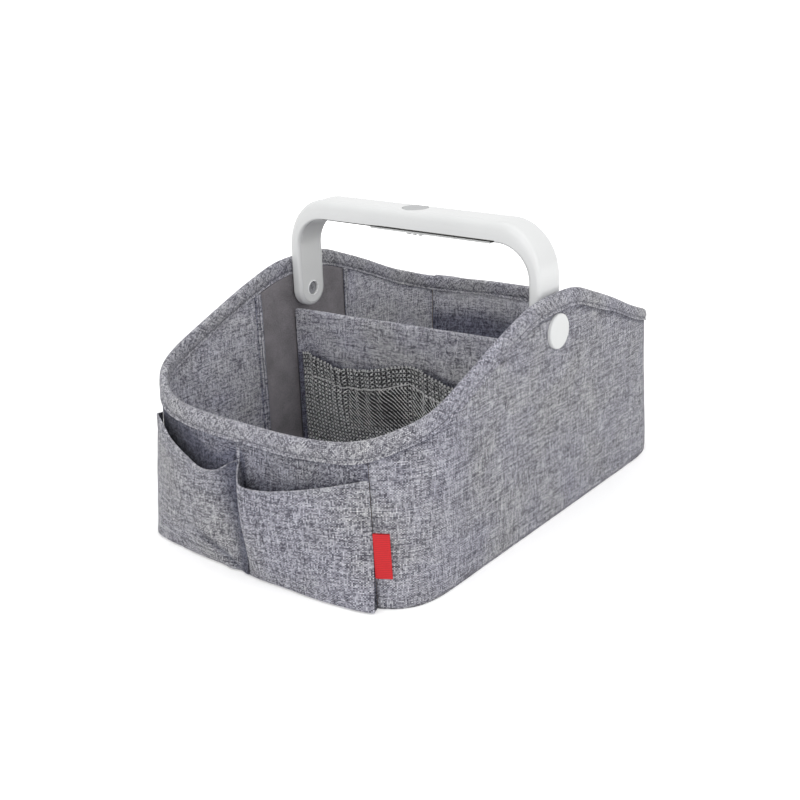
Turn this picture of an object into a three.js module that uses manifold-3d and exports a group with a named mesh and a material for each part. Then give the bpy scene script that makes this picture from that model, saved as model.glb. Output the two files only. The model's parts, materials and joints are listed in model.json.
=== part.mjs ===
import * as THREE from 'three';
import { mergeVertices } from 'three/addons/utils/BufferGeometryUtils.js';
import Module from 'manifold-3d';

const wasm = await Module();
wasm.setup();

// A fabric caddy with a lit carrying handle. Millimetres, +Z up, the pockets face -Y.
// The origin is on the floor, under the middle of the body.

// Clearance between pieces, and the overrun of every cut
const gap = 0.3;
const overrun = 1;

// Body outline seen from above, with ends that are rounded by a power curve
const body_half_width = 114;
const body_half_length = 176;
const front_end_length = 65;
const back_end_length = 73;
const base_power = 3.8;
const rim_front_right_power = 2.65;
const rim_front_left_power = 3.1;
const rim_back_power = 2.9;

// Height of the rim, from the low front over the pivots to the back
const front_rim_height = 102.5;
const peak_rim_height = 161;
const back_rim_height = 109;
const front_rise_stations_share = [0, 0.15, 0.3, 0.5, 0.7, 0.85, 1];
const front_rise_share = [0, 0.21, 0.39, 0.63, 0.85, 0.975, 1];
const back_fall_stations_share = [0, 0.15, 0.3, 0.45, 0.7, 1];
const back_fall_share = [0, 0.03, 0.2, 0.4, 0.75, 1];

// Layers of a wall, from the outside in
const outer_fabric_thickness = 0.8;
const wall_board_thickness = 1.5;
const lining_thickness = 0.6;
const board_inset = outer_fabric_thickness + gap;
const lining_inset = board_inset + wall_board_thickness + gap;
const inner_face_inset = lining_inset + lining_thickness;

// Layers of the base, from the floor up
const base_fabric_thickness = 0.8;
const base_board_thickness = 1.6;
const base_lining_thickness = 0.6;
const wall_bottom = base_fabric_thickness + gap;
const lining_bottom = wall_bottom + base_board_thickness + gap;
const base_lining_top = lining_bottom + base_lining_thickness;

// Folded binding over the rim
const binding_thickness = 0.8;
const binding_depth = 12;
const binding_half_width = inner_face_inset / 2 + gap + binding_thickness;
const wall_top_drop = binding_half_width;
const binding_arc_steps = 4;

// Seams, as shares of the quarter turn from the middle of the front or back
const front_seam_share = 0.47;
const left_pocket_end_share = 0.55;
const back_seam_share = 0.58;

// Front pockets
const pocket_fabric_thickness = 0.9;
const pocket_bottom = 2;
const pocket_seam_offset = -6;
const pocket_base_bulge = 5.3;
const pocket_base_power = 0.35;
const right_mouth = { outer: 87, seam: 80, sag: 14, peak_share: 0.2, bulge: 10 };
const left_mouth = { outer: 84, seam: 80, sag: 12, peak_share: 0.34, bulge: 9 };
const pocket_columns = 28;
const pocket_rows = 5;

// Plain tab in the front seam
const tab_bottom = 21;
const tab_height = 31;
const tab_reach = 11;
const tab_thickness = 0.9;

// Loop bands inside the side walls, which the divider's hook strips grip
const loop_band_thickness = 0.8;
const loop_band_front = 48;
const loop_band_back = 47;
const loop_band_top_margin = 1;

// Divider
const divider_board_thickness = 1.6;
const divider_fabric_thickness = 0.8;
const divider_half_thickness = divider_board_thickness / 2 + gap + divider_fabric_thickness;
const divider_y = -1.5;
const divider_turn = THREE.MathUtils.degToRad(5);
const divider_handle_clearance = 1;
const hook_strip_thickness = 0.8;
const hook_strip_margin = 6;

// Gathered net pockets on the front of the divider
const net_thickness = 0.8;
const net_bottom = 9;
const net_side_margin = 4;
const net_split = 6;
const net_bulge = 9;
const net_gather = 1.5;
const net_gather_count = 6;
const net_fullness_power = 0.5;
const net_columns = 36;
const net_rows = 5;
const left_net_top = { outer: 92, middle: 84, inner: 97 };
const right_net_top = { outer: 92, middle: 86, inner: 97 };
const elastic_drop = 14;
const elastic_height = 3;
const elastic_thickness = 0.6;

// Carrying handle, an arch that stands across the body on two pivots
const cap_radius = 12;
const cap_binding_margin = 1;
const pivot_height = peak_rim_height - binding_depth - cap_binding_margin - cap_radius;
const washer_thickness = 1.2;
const leg_thickness = 9;
const bar_thickness = 14;
const leg_outer_half_width = body_half_width - inner_face_inset - 2 * gap - washer_thickness;
const handle_inner_half_width = leg_outer_half_width - leg_thickness;
const handle_half_depth = 13.6;
const handle_rise = 57;
const handle_underside = pivot_height + handle_rise;
const handle_bend_radius = 23.8;
const outer_round_share = 0.66;
const inner_round = 2.2;
const handle_wall = 1.8;
const rib_thickness = 1.2;
const leg_rib_rise = 9;
const bend_steps = 8;
const inner_round_steps = 2;
const outer_round_steps = 5;

// Inner cover of the handle
const cover_half_depth = 10.8;
const cover_thickness = 1.6;
const leg_boss_height = 16;

// Battery door, light and touch pad on the bar, placed as shares of the handle's half width
const door_start_share = -0.331;
const door_end_share = 0.692;
const lens_start_share = -0.662;
const lens_end_share = -0.391;
const door_half_depth = 8;
const door_proud = 1.2;
const door_corner_radius = 3;
const grip_rib_count = 3;
const grip_rib_pitch = 5;
const grip_rib_width = 1.6;
const grip_rib_height = 1.4;
const grip_rib_length = 5;
const lens_half_depth = 6;
const led_board_thickness = 1.6;
const led_board_rise = 3.6;
const led_radius = 1.6;
const led_height = 1.2;
const led_count = 3;
const touch_pad_radius = 9;
const touch_pad_thickness = 1;

// Two battery cells in line, with their contacts
const cell_end_space = 6.1;
const cell_nipple_radius = 1.9;
const cell_nipple_length = 1;
const contact_thickness = 0.6;

// Pivots: a cap outside with its stem, a washer, and a screw from inside
const cap_thickness = 3;
const cap_crown = 0.8;
const stem_radius = 3.6;
const stem_bore_radius = 1.8;
const screw_shank_radius = 1.5;
const screw_head_radius = 4.6;
const screw_head_thickness = 2;
const screw_slot_width = 1.1;
const recess_radius = 5;
const recess_depth = 3.6;
const washer_radius = 9;
const round_steps = 24;

const divider_top = pivot_height - handle_half_depth - divider_handle_clearance;
const door_start = handle_inner_half_width * door_start_share;
const door_end = handle_inner_half_width * door_end_share;
const lens_start = handle_inner_half_width * lens_start_share;
const lens_end = handle_inner_half_width * lens_end_share;
const cell_radius = (bar_thickness - handle_wall - cover_thickness) / 2 - gap;
const cell_length = (door_end - door_start) / 2 - cell_nipple_length - gap - cell_end_space;
const cell_pitch = cell_length + cell_nipple_length + gap;
const cells_start = (door_start + door_end) / 2 - cell_pitch;
const contact_starts = {
  left: cells_start - gap - contact_thickness,
  right: cells_start + 2 * cell_pitch,
};


// Steps around one rounded quarter of the body, and along one straight side
const corner_steps = 12;
const side_steps = 10;

// Places around the outline count in quarters: 0 is the middle of the front, 1 to 2 is the right
// side, 3 is the middle of the back, 4 to 5 is the left side and 6 is the front again.
const outline_quarters = 6;
const half_outline = outline_quarters / 2;
const front_end_y = front_end_length - body_half_length;
const back_end_y = body_half_length - back_end_length;

function smooth_through(stations, values, at) {
  let i = 0;
  while (i < stations.length - 2 && at > stations[i + 1]) i += 1;
  const slope = (k) => {
    if (k <= 0 || k >= stations.length - 1) return 0;
    return (values[k + 1] - values[k - 1]) / (stations[k + 1] - stations[k - 1]);
  };
  const run = stations[i + 1] - stations[i];
  const t = THREE.MathUtils.clamp((at - stations[i]) / run, 0, 1);
  const rise = values[i + 1] - values[i];
  const start = slope(i) * run;
  const end = slope(i + 1) * run;
  return values[i] + start * t + (3 * rise - 2 * start - end) * t * t + (start + end - 2 * rise) * t ** 3;
}

function rim_height_at(y) {
  if (y < 0) {
    const rise = smooth_through(front_rise_stations_share, front_rise_share, 1 + y / body_half_length);
    return front_rim_height + (peak_rim_height - front_rim_height) * rise;
  }
  const fall = smooth_through(back_fall_stations_share, back_fall_share, y / body_half_length);
  return peak_rim_height - (peak_rim_height - back_rim_height) * fall;
}

// A point of the rounded end, at a polar angle from the middle of the end, with its outward normal
function end_point(angle, end_length, power) {
  const across = Math.sin(angle);
  const along = Math.cos(angle);
  const reach = (across ** power + along ** power) ** (-1 / power);
  const normal = new THREE.Vector2(
    (reach * across) ** (power - 1) / body_half_width,
    (reach * along) ** (power - 1) / end_length,
  ).normalize();
  return { x: body_half_width * reach * across, y: end_length * reach * along, normal };
}

// A point of the outline on the right half (place 0 to 3), at the base or at the rim
function right_outline(place, front_power, back_power) {
  if (place < 1) {
    const p = end_point(place * Math.PI / 2, front_end_length, front_power);
    return { x: p.x, y: front_end_y - p.y, nx: p.normal.x, ny: -p.normal.y };
  }
  if (place <= 2) {
    return { x: body_half_width, y: THREE.MathUtils.lerp(front_end_y, back_end_y, place - 1), nx: 1, ny: 0 };
  }
  const p = end_point((half_outline - place) * Math.PI / 2, back_end_length, back_power);
  return { x: p.x, y: back_end_y + p.y, nx: p.normal.x, ny: p.normal.y };
}

function outline_point(place, at_rim) {
  const turned = THREE.MathUtils.euclideanModulo(place, outline_quarters);
  const left = turned > half_outline;
  const front_power = left ? rim_front_left_power : rim_front_right_power;
  const p = right_outline(
    left ? outline_quarters - turned : turned,
    at_rim ? front_power : base_power,
    at_rim ? rim_back_power : base_power,
  );
  const side = left ? -1 : 1;
  return { x: side * p.x, y: p.y, nx: side * p.nx, ny: p.ny };
}

function rim_height(place) {
  return rim_height_at(outline_point(place, true).y);
}

// A point of the wall at a height, moved inward by inset; a negative inset lies outside
function wall_point(place, z, inset) {
  const base = outline_point(place, false);
  const rim = outline_point(place, true);
  const share = z / rim_height(place);
  const normal = new THREE.Vector2(
    THREE.MathUtils.lerp(base.nx, rim.nx, share),
    THREE.MathUtils.lerp(base.ny, rim.ny, share),
  ).normalize();
  return new THREE.Vector3(
    THREE.MathUtils.lerp(base.x, rim.x, share) - normal.x * inset,
    THREE.MathUtils.lerp(base.y, rim.y, share) - normal.y * inset,
    z,
  );
}

// Half the gap of a seam, as a step along the outline
const seam_step = gap / (body_half_width + front_end_length);

// Places from one to another, closer together round the corners than along the sides
function places_between(from, to) {
  const places = [from];
  for (let quarter = Math.floor(from); quarter < to; quarter += 1) {
    const straight = THREE.MathUtils.euclideanModulo(quarter, half_outline) === 1;
    const steps = straight ? side_steps : corner_steps;
    for (let i = 1; i <= steps; i += 1) {
      const place = quarter + i / steps;
      if (place > from + seam_step && place < to - seam_step) places.push(place);
    }
  }
  places.push(to);
  return places;
}

function place_at_y(y) {
  return 1 + (y - front_end_y) / (back_end_y - front_end_y);
}

// Geometry from points and triangles, turned so that its faces point out
function geometry_of(points, triangles) {
  const positions = new Float32Array(points.flatMap((p) => [p.x, p.y, p.z]));
  const volume = triangles.reduce((sum, [a, b, c]) => {
    const cross = new THREE.Vector3().crossVectors(points[b], points[c]);
    return sum + points[a].dot(cross);
  }, 0);
  const outward = volume < 0 ? triangles.map(([a, b, c]) => [a, c, b]) : triangles;
  const geometry = new THREE.BufferGeometry();
  geometry.setAttribute('position', new THREE.BufferAttribute(positions, 3));
  geometry.setIndex(outward.flat());
  return geometry;
}

// A thin solid between two grids of points with the same rows and columns
function slab(front, back) {
  const rows = front.length;
  const columns = front[0].length;
  const points = [...front.flat(), ...back.flat()];
  const index = (side, r, c) => side * rows * columns + r * columns + c;
  const triangles = [];
  const quad = (a, b, c, d) => triangles.push([a, b, c], [a, c, d]);
  for (let r = 0; r < rows - 1; r += 1) {
    for (let c = 0; c < columns - 1; c += 1) {
      quad(index(0, r, c), index(0, r, c + 1), index(0, r + 1, c + 1), index(0, r + 1, c));
      quad(index(1, r, c), index(1, r + 1, c), index(1, r + 1, c + 1), index(1, r, c + 1));
    }
    quad(index(0, r, 0), index(0, r + 1, 0), index(1, r + 1, 0), index(1, r, 0));
    const last = columns - 1;
    quad(index(0, r, last), index(1, r, last), index(1, r + 1, last), index(0, r + 1, last));
  }
  for (let c = 0; c < columns - 1; c += 1) {
    quad(index(0, 0, c), index(1, 0, c), index(1, 0, c + 1), index(0, 0, c + 1));
    const last = rows - 1;
    quad(index(0, last, c), index(0, last, c + 1), index(1, last, c + 1), index(1, last, c));
  }
  return geometry_of(points, triangles);
}

// A solid through rings of points; the ends are closed, or the last ring meets the first
function loft(rings, joined) {
  const size = rings[0].length;
  const points = rings.flat();
  const triangles = [];
  const spans = joined ? rings.length : rings.length - 1;
  for (let r = 0; r < spans; r += 1) {
    const next = (r + 1) % rings.length;
    for (let i = 0; i < size; i += 1) {
      const j = (i + 1) % size;
      triangles.push([r * size + i, next * size + j, next * size + i]);
      triangles.push([r * size + i, r * size + j, next * size + j]);
    }
  }
  if (!joined) {
    const last = (rings.length - 1) * size;
    for (let i = 1; i < size - 1; i += 1) {
      triangles.push([0, i + 1, i]);
      triangles.push([last, last + i, last + i + 1]);
    }
  }
  return geometry_of(points, triangles);
}

// Closed geometry to a solid that can be cut and joined, and back
function solid(source) {
  const bare = source.clone();
  bare.deleteAttribute('normal');
  bare.deleteAttribute('uv');
  const merged = mergeVertices(bare);
  return new wasm.Manifold(new wasm.Mesh({
    numProp: 3,
    vertProperties: new Float32Array(merged.attributes.position.array),
    triVerts: new Uint32Array(merged.index.array),
  }));
}

function geometry_from(body) {
  const mesh = body.getMesh();
  const geometry = new THREE.BufferGeometry();
  geometry.setAttribute('position', new THREE.BufferAttribute(mesh.vertProperties, 3));
  geometry.setIndex(new THREE.BufferAttribute(mesh.triVerts, 1));
  return geometry;
}

// Materials
const finishes = {
  melange: { color: 0x8e9198, roughness: 0.92, metalness: 0 },
  lining: { color: 0x85888f, roughness: 0.94, metalness: 0 },
  board: { color: 0xb59a72, roughness: 0.85, metalness: 0 },
  loop: { color: 0x5d5b5f, roughness: 0.97, metalness: 0 },
  hook: { color: 0x4a494c, roughness: 0.8, metalness: 0 },
  net: { color: 0x8f908c, roughness: 0.6, metalness: 0 },
  elastic: { color: 0xa7a8a6, roughness: 0.8, metalness: 0 },
  tab: { color: 0xd22630, roughness: 0.7, metalness: 0 },
  plastic: { color: 0xf0f1ef, roughness: 0.25, metalness: 0 },
  pad: { color: 0xb9bbbb, roughness: 0.4, metalness: 0 },
  lens: { color: 0xf4f4ee, roughness: 0.2, metalness: 0 },
  circuit: { color: 0x2f6b45, roughness: 0.5, metalness: 0 },
  emitter: { color: 0xf2e8b0, roughness: 0.3, metalness: 0 },
  cell: { color: 0x3a3c40, roughness: 0.4, metalness: 0.3 },
  steel: { color: 0xa9abad, roughness: 0.35, metalness: 1 },
};

const caddy = new THREE.Group();

function add(name, shape, finish, parent = caddy) {
  const geometry = shape.isBufferGeometry ? shape : geometry_from(shape);
  const mesh = new THREE.Mesh(geometry, new THREE.MeshStandardMaterial(finishes[finish]));
  mesh.name = name;
  parent.add(mesh);
}

// A round rod along X, from one x to another, at a place across and up
function rod_along_x(radius, from, to, y, z) {
  const rod = new THREE.CylinderGeometry(radius, radius, Math.abs(to - from), round_steps);
  rod.rotateZ(Math.PI / 2);
  rod.translate((from + to) / 2, y, z);
  return solid(rod);
}

function rod_along_z(radius, x, y, from, to) {
  const rod = new THREE.CylinderGeometry(radius, radius, to - from, round_steps);
  rod.rotateX(Math.PI / 2);
  rod.translate(x, y, (from + to) / 2);
  return solid(rod);
}

function box_between(low, high) {
  const size = new THREE.Vector3().subVectors(high, low);
  const box = new THREE.BoxGeometry(size.x, size.y, size.z);
  const middle = new THREE.Vector3().addVectors(low, high).multiplyScalar(0.5);
  box.translate(middle.x, middle.y, middle.z);
  return box;
}

// Base
function base_plate(inset, bottom, thickness) {
  const places = places_between(0, outline_quarters);
  places.pop();
  const ring = (z) => places.map((place) => {
    const p = wall_point(place, 0, inset);
    return new THREE.Vector3(p.x, p.y, z);
  });
  return loft([ring(bottom), ring(bottom + thickness)], false);
}

add('base_fabric', base_plate(0, 0, base_fabric_thickness), 'melange');
add('base_board', base_plate(lining_inset, wall_bottom, base_board_thickness), 'board');
add('base_lining', base_plate(inner_face_inset + gap, lining_bottom, base_lining_thickness), 'lining');

// Walls: a layer follows the outline between two seams and rises to the rim
function run_places(from, to) {
  return places_between(from + seam_step, to - seam_step);
}

function wall_layer(from, to, inset, thickness, bottom) {
  const places = run_places(from, to);
  const face = (depth) => [
    places.map((place) => wall_point(place, bottom, depth)),
    places.map((place) => wall_point(place, rim_height(place) - wall_top_drop, depth)),
  ];
  return slab(face(inset), face(inset + thickness));
}

const front_seam_left = outline_quarters - front_seam_share;
const back_seam_right = half_outline - back_seam_share;
const back_seam_left = half_outline + back_seam_share;
const wall_runs = {
  front: [-front_seam_share, front_seam_share],
  right: [front_seam_share, back_seam_right],
  back: [back_seam_right, back_seam_left],
  left: [back_seam_left, front_seam_left],
};

// The hole that lets a pivot's stem through a side wall
const stem_hole_radius = stem_radius + gap;

function pivot_hole(side, radius) {
  const inner = body_half_width - inner_face_inset - loop_band_thickness - gap - overrun;
  return rod_along_x(radius, side * inner, side * (body_half_width + overrun), 0, pivot_height);
}

function with_pivot_hole(run, layer) {
  if (run === 'front' || run === 'back') return layer;
  return solid(layer).subtract(pivot_hole(run === 'right' ? 1 : -1, stem_hole_radius));
}

for (const [run, [from, to]] of Object.entries(wall_runs)) {
  const outer = wall_layer(from, to, 0, outer_fabric_thickness, wall_bottom);
  const board = wall_layer(from, to, board_inset, wall_board_thickness, wall_bottom);
  const lining = wall_layer(from, to, lining_inset, lining_thickness, lining_bottom);
  add(`outer_panel_${run}`, with_pivot_hole(run, outer), 'melange');
  add(`wall_board_${run}`, with_pivot_hole(run, board), 'board');
  add(`lining_${run}`, with_pivot_hole(run, lining), 'lining');
}

// Binding: a U-shaped tape folded over the rim all the way round
function binding_ring(place) {
  const height = rim_height(place);
  const outer_reach = binding_half_width;
  const inner_reach = outer_reach - binding_thickness;
  const middle = inner_face_inset / 2;
  const arc = (reach, from, to) => Array.from({ length: binding_arc_steps + 1 }, (_, i) => {
    const angle = THREE.MathUtils.lerp(from, to, i / binding_arc_steps);
    return [middle - reach * Math.cos(angle), height - binding_half_width + reach * Math.sin(angle)];
  });
  const section = [
    [middle - outer_reach, height - binding_depth],
    ...arc(outer_reach, 0, Math.PI),
    [middle + outer_reach, height - binding_depth],
    [middle + inner_reach, height - binding_depth],
    ...arc(inner_reach, Math.PI, 0),
    [middle - inner_reach, height - binding_depth],
  ];
  return section.map(([inset, z]) => wall_point(place, z, inset));
}

const rim_places = Object.values(wall_runs).flatMap(([from, to]) => run_places(from, to));
add('rim_binding', loft(rim_places.map(binding_ring), true), 'melange');

// Front pockets: the cloth leaves the wall at the bottom, bulges and sags to its mouth
function swell(share, peak_share) {
  const warped = share ** (Math.log(1 / 2) / Math.log(peak_share));
  return Math.sin(Math.PI * warped);
}

function front_pocket(seam_place, outer_place, mouth) {
  const face = (depth) => {
    const rows = [];
    for (let r = -1; r <= pocket_rows; r += 1) {
      const up = Math.max(r, 0) / pocket_rows;
      const row = [];
      for (let c = 0; c <= pocket_columns; c += 1) {
        const across = c / pocket_columns;
        const fullness = swell(across, mouth.peak_share);
        const edge = THREE.MathUtils.lerp(mouth.seam, mouth.outer, across) - mouth.sag * fullness;
        const base_bulge = pocket_base_bulge * Math.sin(Math.PI * across) ** pocket_base_power;
        const bulge = r < 0 ? 0 : base_bulge + (mouth.bulge - pocket_base_bulge) * fullness * up ** 2;
        const tuck = r < 0 ? depth : 0;
        const z = THREE.MathUtils.lerp(pocket_bottom, edge, up) - (r <= 0 ? depth : 0);
        const place = THREE.MathUtils.lerp(seam_place, outer_place, across);
        row.push(wall_point(place, z, tuck - depth - gap - bulge));
      }
      rows.push(row);
    }
    return rows;
  };
  return slab(face(pocket_fabric_thickness), face(0));
}

const pocket_seam_place = Math.atan(pocket_seam_offset / body_half_width) / (Math.PI / 2);
const pocket_gap_step = 2 * seam_step;
add('front_pocket_right', front_pocket(
  pocket_seam_place + pocket_gap_step,
  front_seam_share,
  right_mouth,
), 'melange');
add('front_pocket_left', front_pocket(
  pocket_seam_place - pocket_gap_step,
  -left_pocket_end_share,
  left_mouth,
), 'melange');

// Tab: a folded strip caught in the front seam, lying along the side
const tab_turn = tab_reach / (body_half_width + front_end_length);
const tab_start = front_seam_share + pocket_gap_step;
const tab_face = (depth) => [tab_bottom, tab_bottom + tab_height].map((z) => (
  [tab_start, tab_start + tab_turn / 2, tab_start + tab_turn].map((place) => wall_point(place, z, -depth))
));
add('side_tab', slab(tab_face(gap + tab_thickness), tab_face(gap)), 'tab');

// Loop bands, cut out round the pivot washers
function loop_band(side) {
  const from = place_at_y(-loop_band_front);
  const to = place_at_y(loop_band_back);
  const places = places_between(from, to);
  const top_drop = binding_depth + loop_band_top_margin;
  const ends = (depth) => [
    places.map((place) => wall_point(place, base_lining_top + gap, depth)),
    places.map((place) => wall_point(place, rim_height(place) - top_drop, depth)),
  ];
  const inset = inner_face_inset + gap;
  const right_band = slab(ends(inset), ends(inset + loop_band_thickness));
  const band = solid(right_band).subtract(pivot_hole(1, washer_radius + gap));
  return side > 0 ? band : band.mirror([1, 0, 0]);
}

add('loop_band_right', loop_band(1), 'loop');
add('loop_band_left', loop_band(-1), 'loop');

// Divider: a board in a fabric sleeve, with hook strips on its ends, a little askew
const divider = new THREE.Group();
divider.position.y = divider_y;
divider.rotation.z = divider_turn;
caddy.add(divider);

const band_face = body_half_width - inner_face_inset - gap - loop_band_thickness;
const corner_reach = divider_half_thickness * Math.sin(divider_turn);
const end_reach = (band_face - gap - corner_reach) / Math.cos(divider_turn);
const divider_half_length = end_reach - hook_strip_thickness - gap;
const divider_bottom = base_lining_top + gap;

// An outline drawn across Y and Z, pushed out along X
function extrude_along_x(shape, from, to) {
  const geometry = new THREE.ExtrudeGeometry(shape, {
    depth: to - from,
    bevelEnabled: false,
    curveSegments: binding_arc_steps,
  });
  const axes = new THREE.Matrix4().set(0, 0, 1, from, 1, 0, 0, 0, 0, 1, 0, 0, 0, 0, 0, 1);
  return geometry.applyMatrix4(axes);
}

// A flat outline with a round top, from a bottom to a top
function round_topped(outline, half_thickness, bottom, top) {
  outline.moveTo(-half_thickness, bottom);
  outline.lineTo(half_thickness, bottom);
  outline.lineTo(half_thickness, top - half_thickness);
  outline.absarc(0, top - half_thickness, half_thickness, 0, Math.PI, false);
  outline.lineTo(-half_thickness, bottom);
  return outline;
}

const sleeve_outline = round_topped(new THREE.Shape(), divider_half_thickness, divider_bottom, divider_top);
const sleeve_bore_half = divider_half_thickness - divider_fabric_thickness;
sleeve_outline.holes.push(round_topped(
  new THREE.Path(),
  sleeve_bore_half,
  divider_bottom + divider_fabric_thickness,
  divider_top - divider_fabric_thickness,
));
const sleeve = extrude_along_x(sleeve_outline, -divider_half_length, divider_half_length);
add('divider_sleeve', sleeve, 'melange', divider);
const divider_board_bottom = divider_bottom + divider_fabric_thickness + gap;
const divider_board_top = divider_top - divider_half_thickness;
add('divider_board', box_between(
  new THREE.Vector3(gap - divider_half_length, -divider_board_thickness / 2, divider_board_bottom),
  new THREE.Vector3(divider_half_length - gap, divider_board_thickness / 2, divider_board_top),
), 'board', divider);

for (const [name, side] of [['left', -1], ['right', 1]]) {
  const inner = side * (divider_half_length + gap);
  const outer = side * end_reach;
  add(`hook_strip_${name}`, box_between(
    new THREE.Vector3(Math.min(inner, outer), -divider_half_thickness, divider_bottom + hook_strip_margin),
    new THREE.Vector3(Math.max(inner, outer), divider_half_thickness, divider_top - hook_strip_margin),
  ), 'hook', divider);
}

// Net pockets: gathered at the mouth by an elastic, flat against the divider at the bottom
function net_edge(net, across) {
  const sag = (net.top.outer + net.top.inner) / 2 - net.top.middle;
  return THREE.MathUtils.lerp(net.top.outer, net.top.inner, across) - sag * Math.sin(Math.PI * across);
}

function net_point(net, across, up, lift) {
  const fullness = Math.sin(Math.PI * across) ** net_fullness_power;
  const rise = Math.sin(Math.PI * Math.min(up, 1 / 2));
  const waves = Math.cos(2 * Math.PI * net_gather_count * across) * up;
  const bulge = (net_bulge - net_gather + net_gather * waves) * fullness * rise;
  return new THREE.Vector3(
    THREE.MathUtils.lerp(net.outer, net.inner, across),
    -divider_half_thickness - gap - lift - bulge,
    THREE.MathUtils.lerp(net_bottom, net_edge(net, across), up),
  );
}

const net_across = Array.from({ length: net_columns + 1 }, (_, c) => c / net_columns);
const net_up = Array.from({ length: net_rows + 1 }, (_, r) => r / net_rows);

// The height of the elastic's lower and upper edge, as a share of the net's height there
function elastic_up(net, across) {
  const height = net_edge(net, across) - net_bottom;
  return [1 - (elastic_drop + elastic_height) / height, 1 - elastic_drop / height];
}

const net_reach = divider_half_length - net_side_margin;
const net_pockets = {
  left: { outer: -net_reach, inner: net_split - gap, top: left_net_top },
  right: { outer: net_reach, inner: net_split + gap, top: right_net_top },
};
for (const [name, net] of Object.entries(net_pockets)) {
  const sheet = (lift) => net_up.map((up) => net_across.map((across) => net_point(net, across, up, lift)));
  add(`net_pocket_${name}`, slab(sheet(net_thickness), sheet(0)), 'net', divider);
  const strip = (lift) => [0, 1].map((edge) => (
    net_across.map((across) => net_point(net, across, elastic_up(net, across)[edge], lift))
  ));
  const on_net = net_thickness + gap;
  add(`net_elastic_${name}`, slab(strip(on_net + elastic_thickness), strip(on_net)), 'elastic', divider);
}

// Handle: everything is placed on the inner face of the arch, with v outward from it
function arch_stations() {
  const bend_centre_x = handle_inner_half_width - handle_bend_radius;
  const bend_centre_z = handle_underside - handle_bend_radius;
  const half = [{ x: handle_inner_half_width, z: pivot_height, angle: 0, bar_share: 0 }];
  for (let i = 0; i <= bend_steps; i += 1) {
    const angle = (Math.PI / 2) * (i / bend_steps);
    half.push({
      x: bend_centre_x + handle_bend_radius * Math.cos(angle),
      z: bend_centre_z + handle_bend_radius * Math.sin(angle),
      angle,
      bar_share: THREE.MathUtils.smoothstep(i / bend_steps, 0, 1),
    });
  }
  const other = half.map((s) => ({ ...s, x: -s.x, angle: Math.PI - s.angle })).reverse();
  return [...half, ...other];
}

function thickness_at(bar_share) {
  return THREE.MathUtils.lerp(leg_thickness, bar_thickness, bar_share);
}

// The handle's section, as (across, outward) points, at a thickness and moved in by inset
function handle_section(thickness, inset) {
  const outer_round = thickness * outer_round_share - inset;
  const round = Math.max(inner_round - inset, gap);
  const half = handle_half_depth - inset;
  const corner = (cu, cv, radius, start, steps) => Array.from({ length: steps + 1 }, (_, i) => {
    const angle = start + (Math.PI / 2) * (i / steps);
    return [cu + radius * Math.cos(angle), cv + radius * Math.sin(angle)];
  });
  const top = thickness - inset;
  return [
    ...corner(half - round, inset + round, round, -Math.PI / 2, inner_round_steps),
    ...corner(half - outer_round, top - outer_round, outer_round, 0, outer_round_steps),
    ...corner(outer_round - half, top - outer_round, outer_round, Math.PI / 2, outer_round_steps),
    ...corner(round - half, inset + round, round, Math.PI, inner_round_steps),
  ];
}

function flat_section(half, low, high) {
  return [[half, low], [half, high], [-half, high], [-half, low]];
}

function arch_ring(station, section) {
  return section.map(([u, v]) => new THREE.Vector3(
    station.x + v * Math.cos(station.angle),
    u,
    station.z + v * Math.sin(station.angle),
  ));
}

// The whole arch with a section of its own, round at both pivots
function arch(section_at, rounded_ends) {
  const stations = arch_stations();
  let body = solid(loft(stations.map((s) => arch_ring(s, section_at(thickness_at(s.bar_share)))), false));
  if (!rounded_ends) return body;
  const section = section_at(leg_thickness).filter(([u]) => u > 0);
  const profile = [
    new THREE.Vector2(0, section[0][1]),
    ...section.map(([u, v]) => new THREE.Vector2(u, v)),
    new THREE.Vector2(0, section[section.length - 1][1]),
  ];
  for (const side of [-1, 1]) {
    const end = new THREE.LatheGeometry(profile, round_steps);
    end.rotateZ(-side * Math.PI / 2);
    end.translate(side * handle_inner_half_width, 0, pivot_height);
    body = body.add(solid(end));
  }
  return body;
}

const arch_outer = arch((t) => handle_section(t, 0), true);
const cover_seat = arch(
  () => flat_section(cover_half_depth + gap, -overrun, cover_thickness + gap),
  true,
);
const leg_top_of_boss = pivot_height + leg_boss_height;
const bar_top = handle_underside + bar_thickness;
const above_bosses = solid(box_between(
  new THREE.Vector3(-leg_outer_half_width, -handle_half_depth, leg_top_of_boss),
  new THREE.Vector3(leg_outer_half_width, handle_half_depth, bar_top),
));
const cavity_half_depth = handle_half_depth - handle_wall;
const hollow = arch((t) => handle_section(t, handle_wall), false).intersect(above_bosses);

// Ribs across the hollow, at both ends of the light and of the battery bay and in each leg
const rib_offset = gap + rib_thickness / 2;
const bar_rib_places = [
  lens_start - rib_offset,
  lens_end + rib_offset,
  contact_starts.left - rib_offset,
  contact_starts.right + contact_thickness + rib_offset,
];
const bar_ribs = bar_rib_places.map((x) => solid(box_between(
  new THREE.Vector3(x - rib_thickness / 2, -handle_half_depth, handle_underside),
  new THREE.Vector3(x + rib_thickness / 2, handle_half_depth, bar_top),
)));
const leg_rib_low = leg_top_of_boss + leg_rib_rise;
const leg_ribs = [-leg_outer_half_width, handle_inner_half_width].map((x) => solid(box_between(
  new THREE.Vector3(x, -handle_half_depth, leg_rib_low),
  new THREE.Vector3(x + leg_thickness, handle_half_depth, leg_rib_low + rib_thickness),
)));
const arch_cavity = [...bar_ribs, ...leg_ribs].reduce((space, rib) => space.subtract(rib), hollow);

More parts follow.
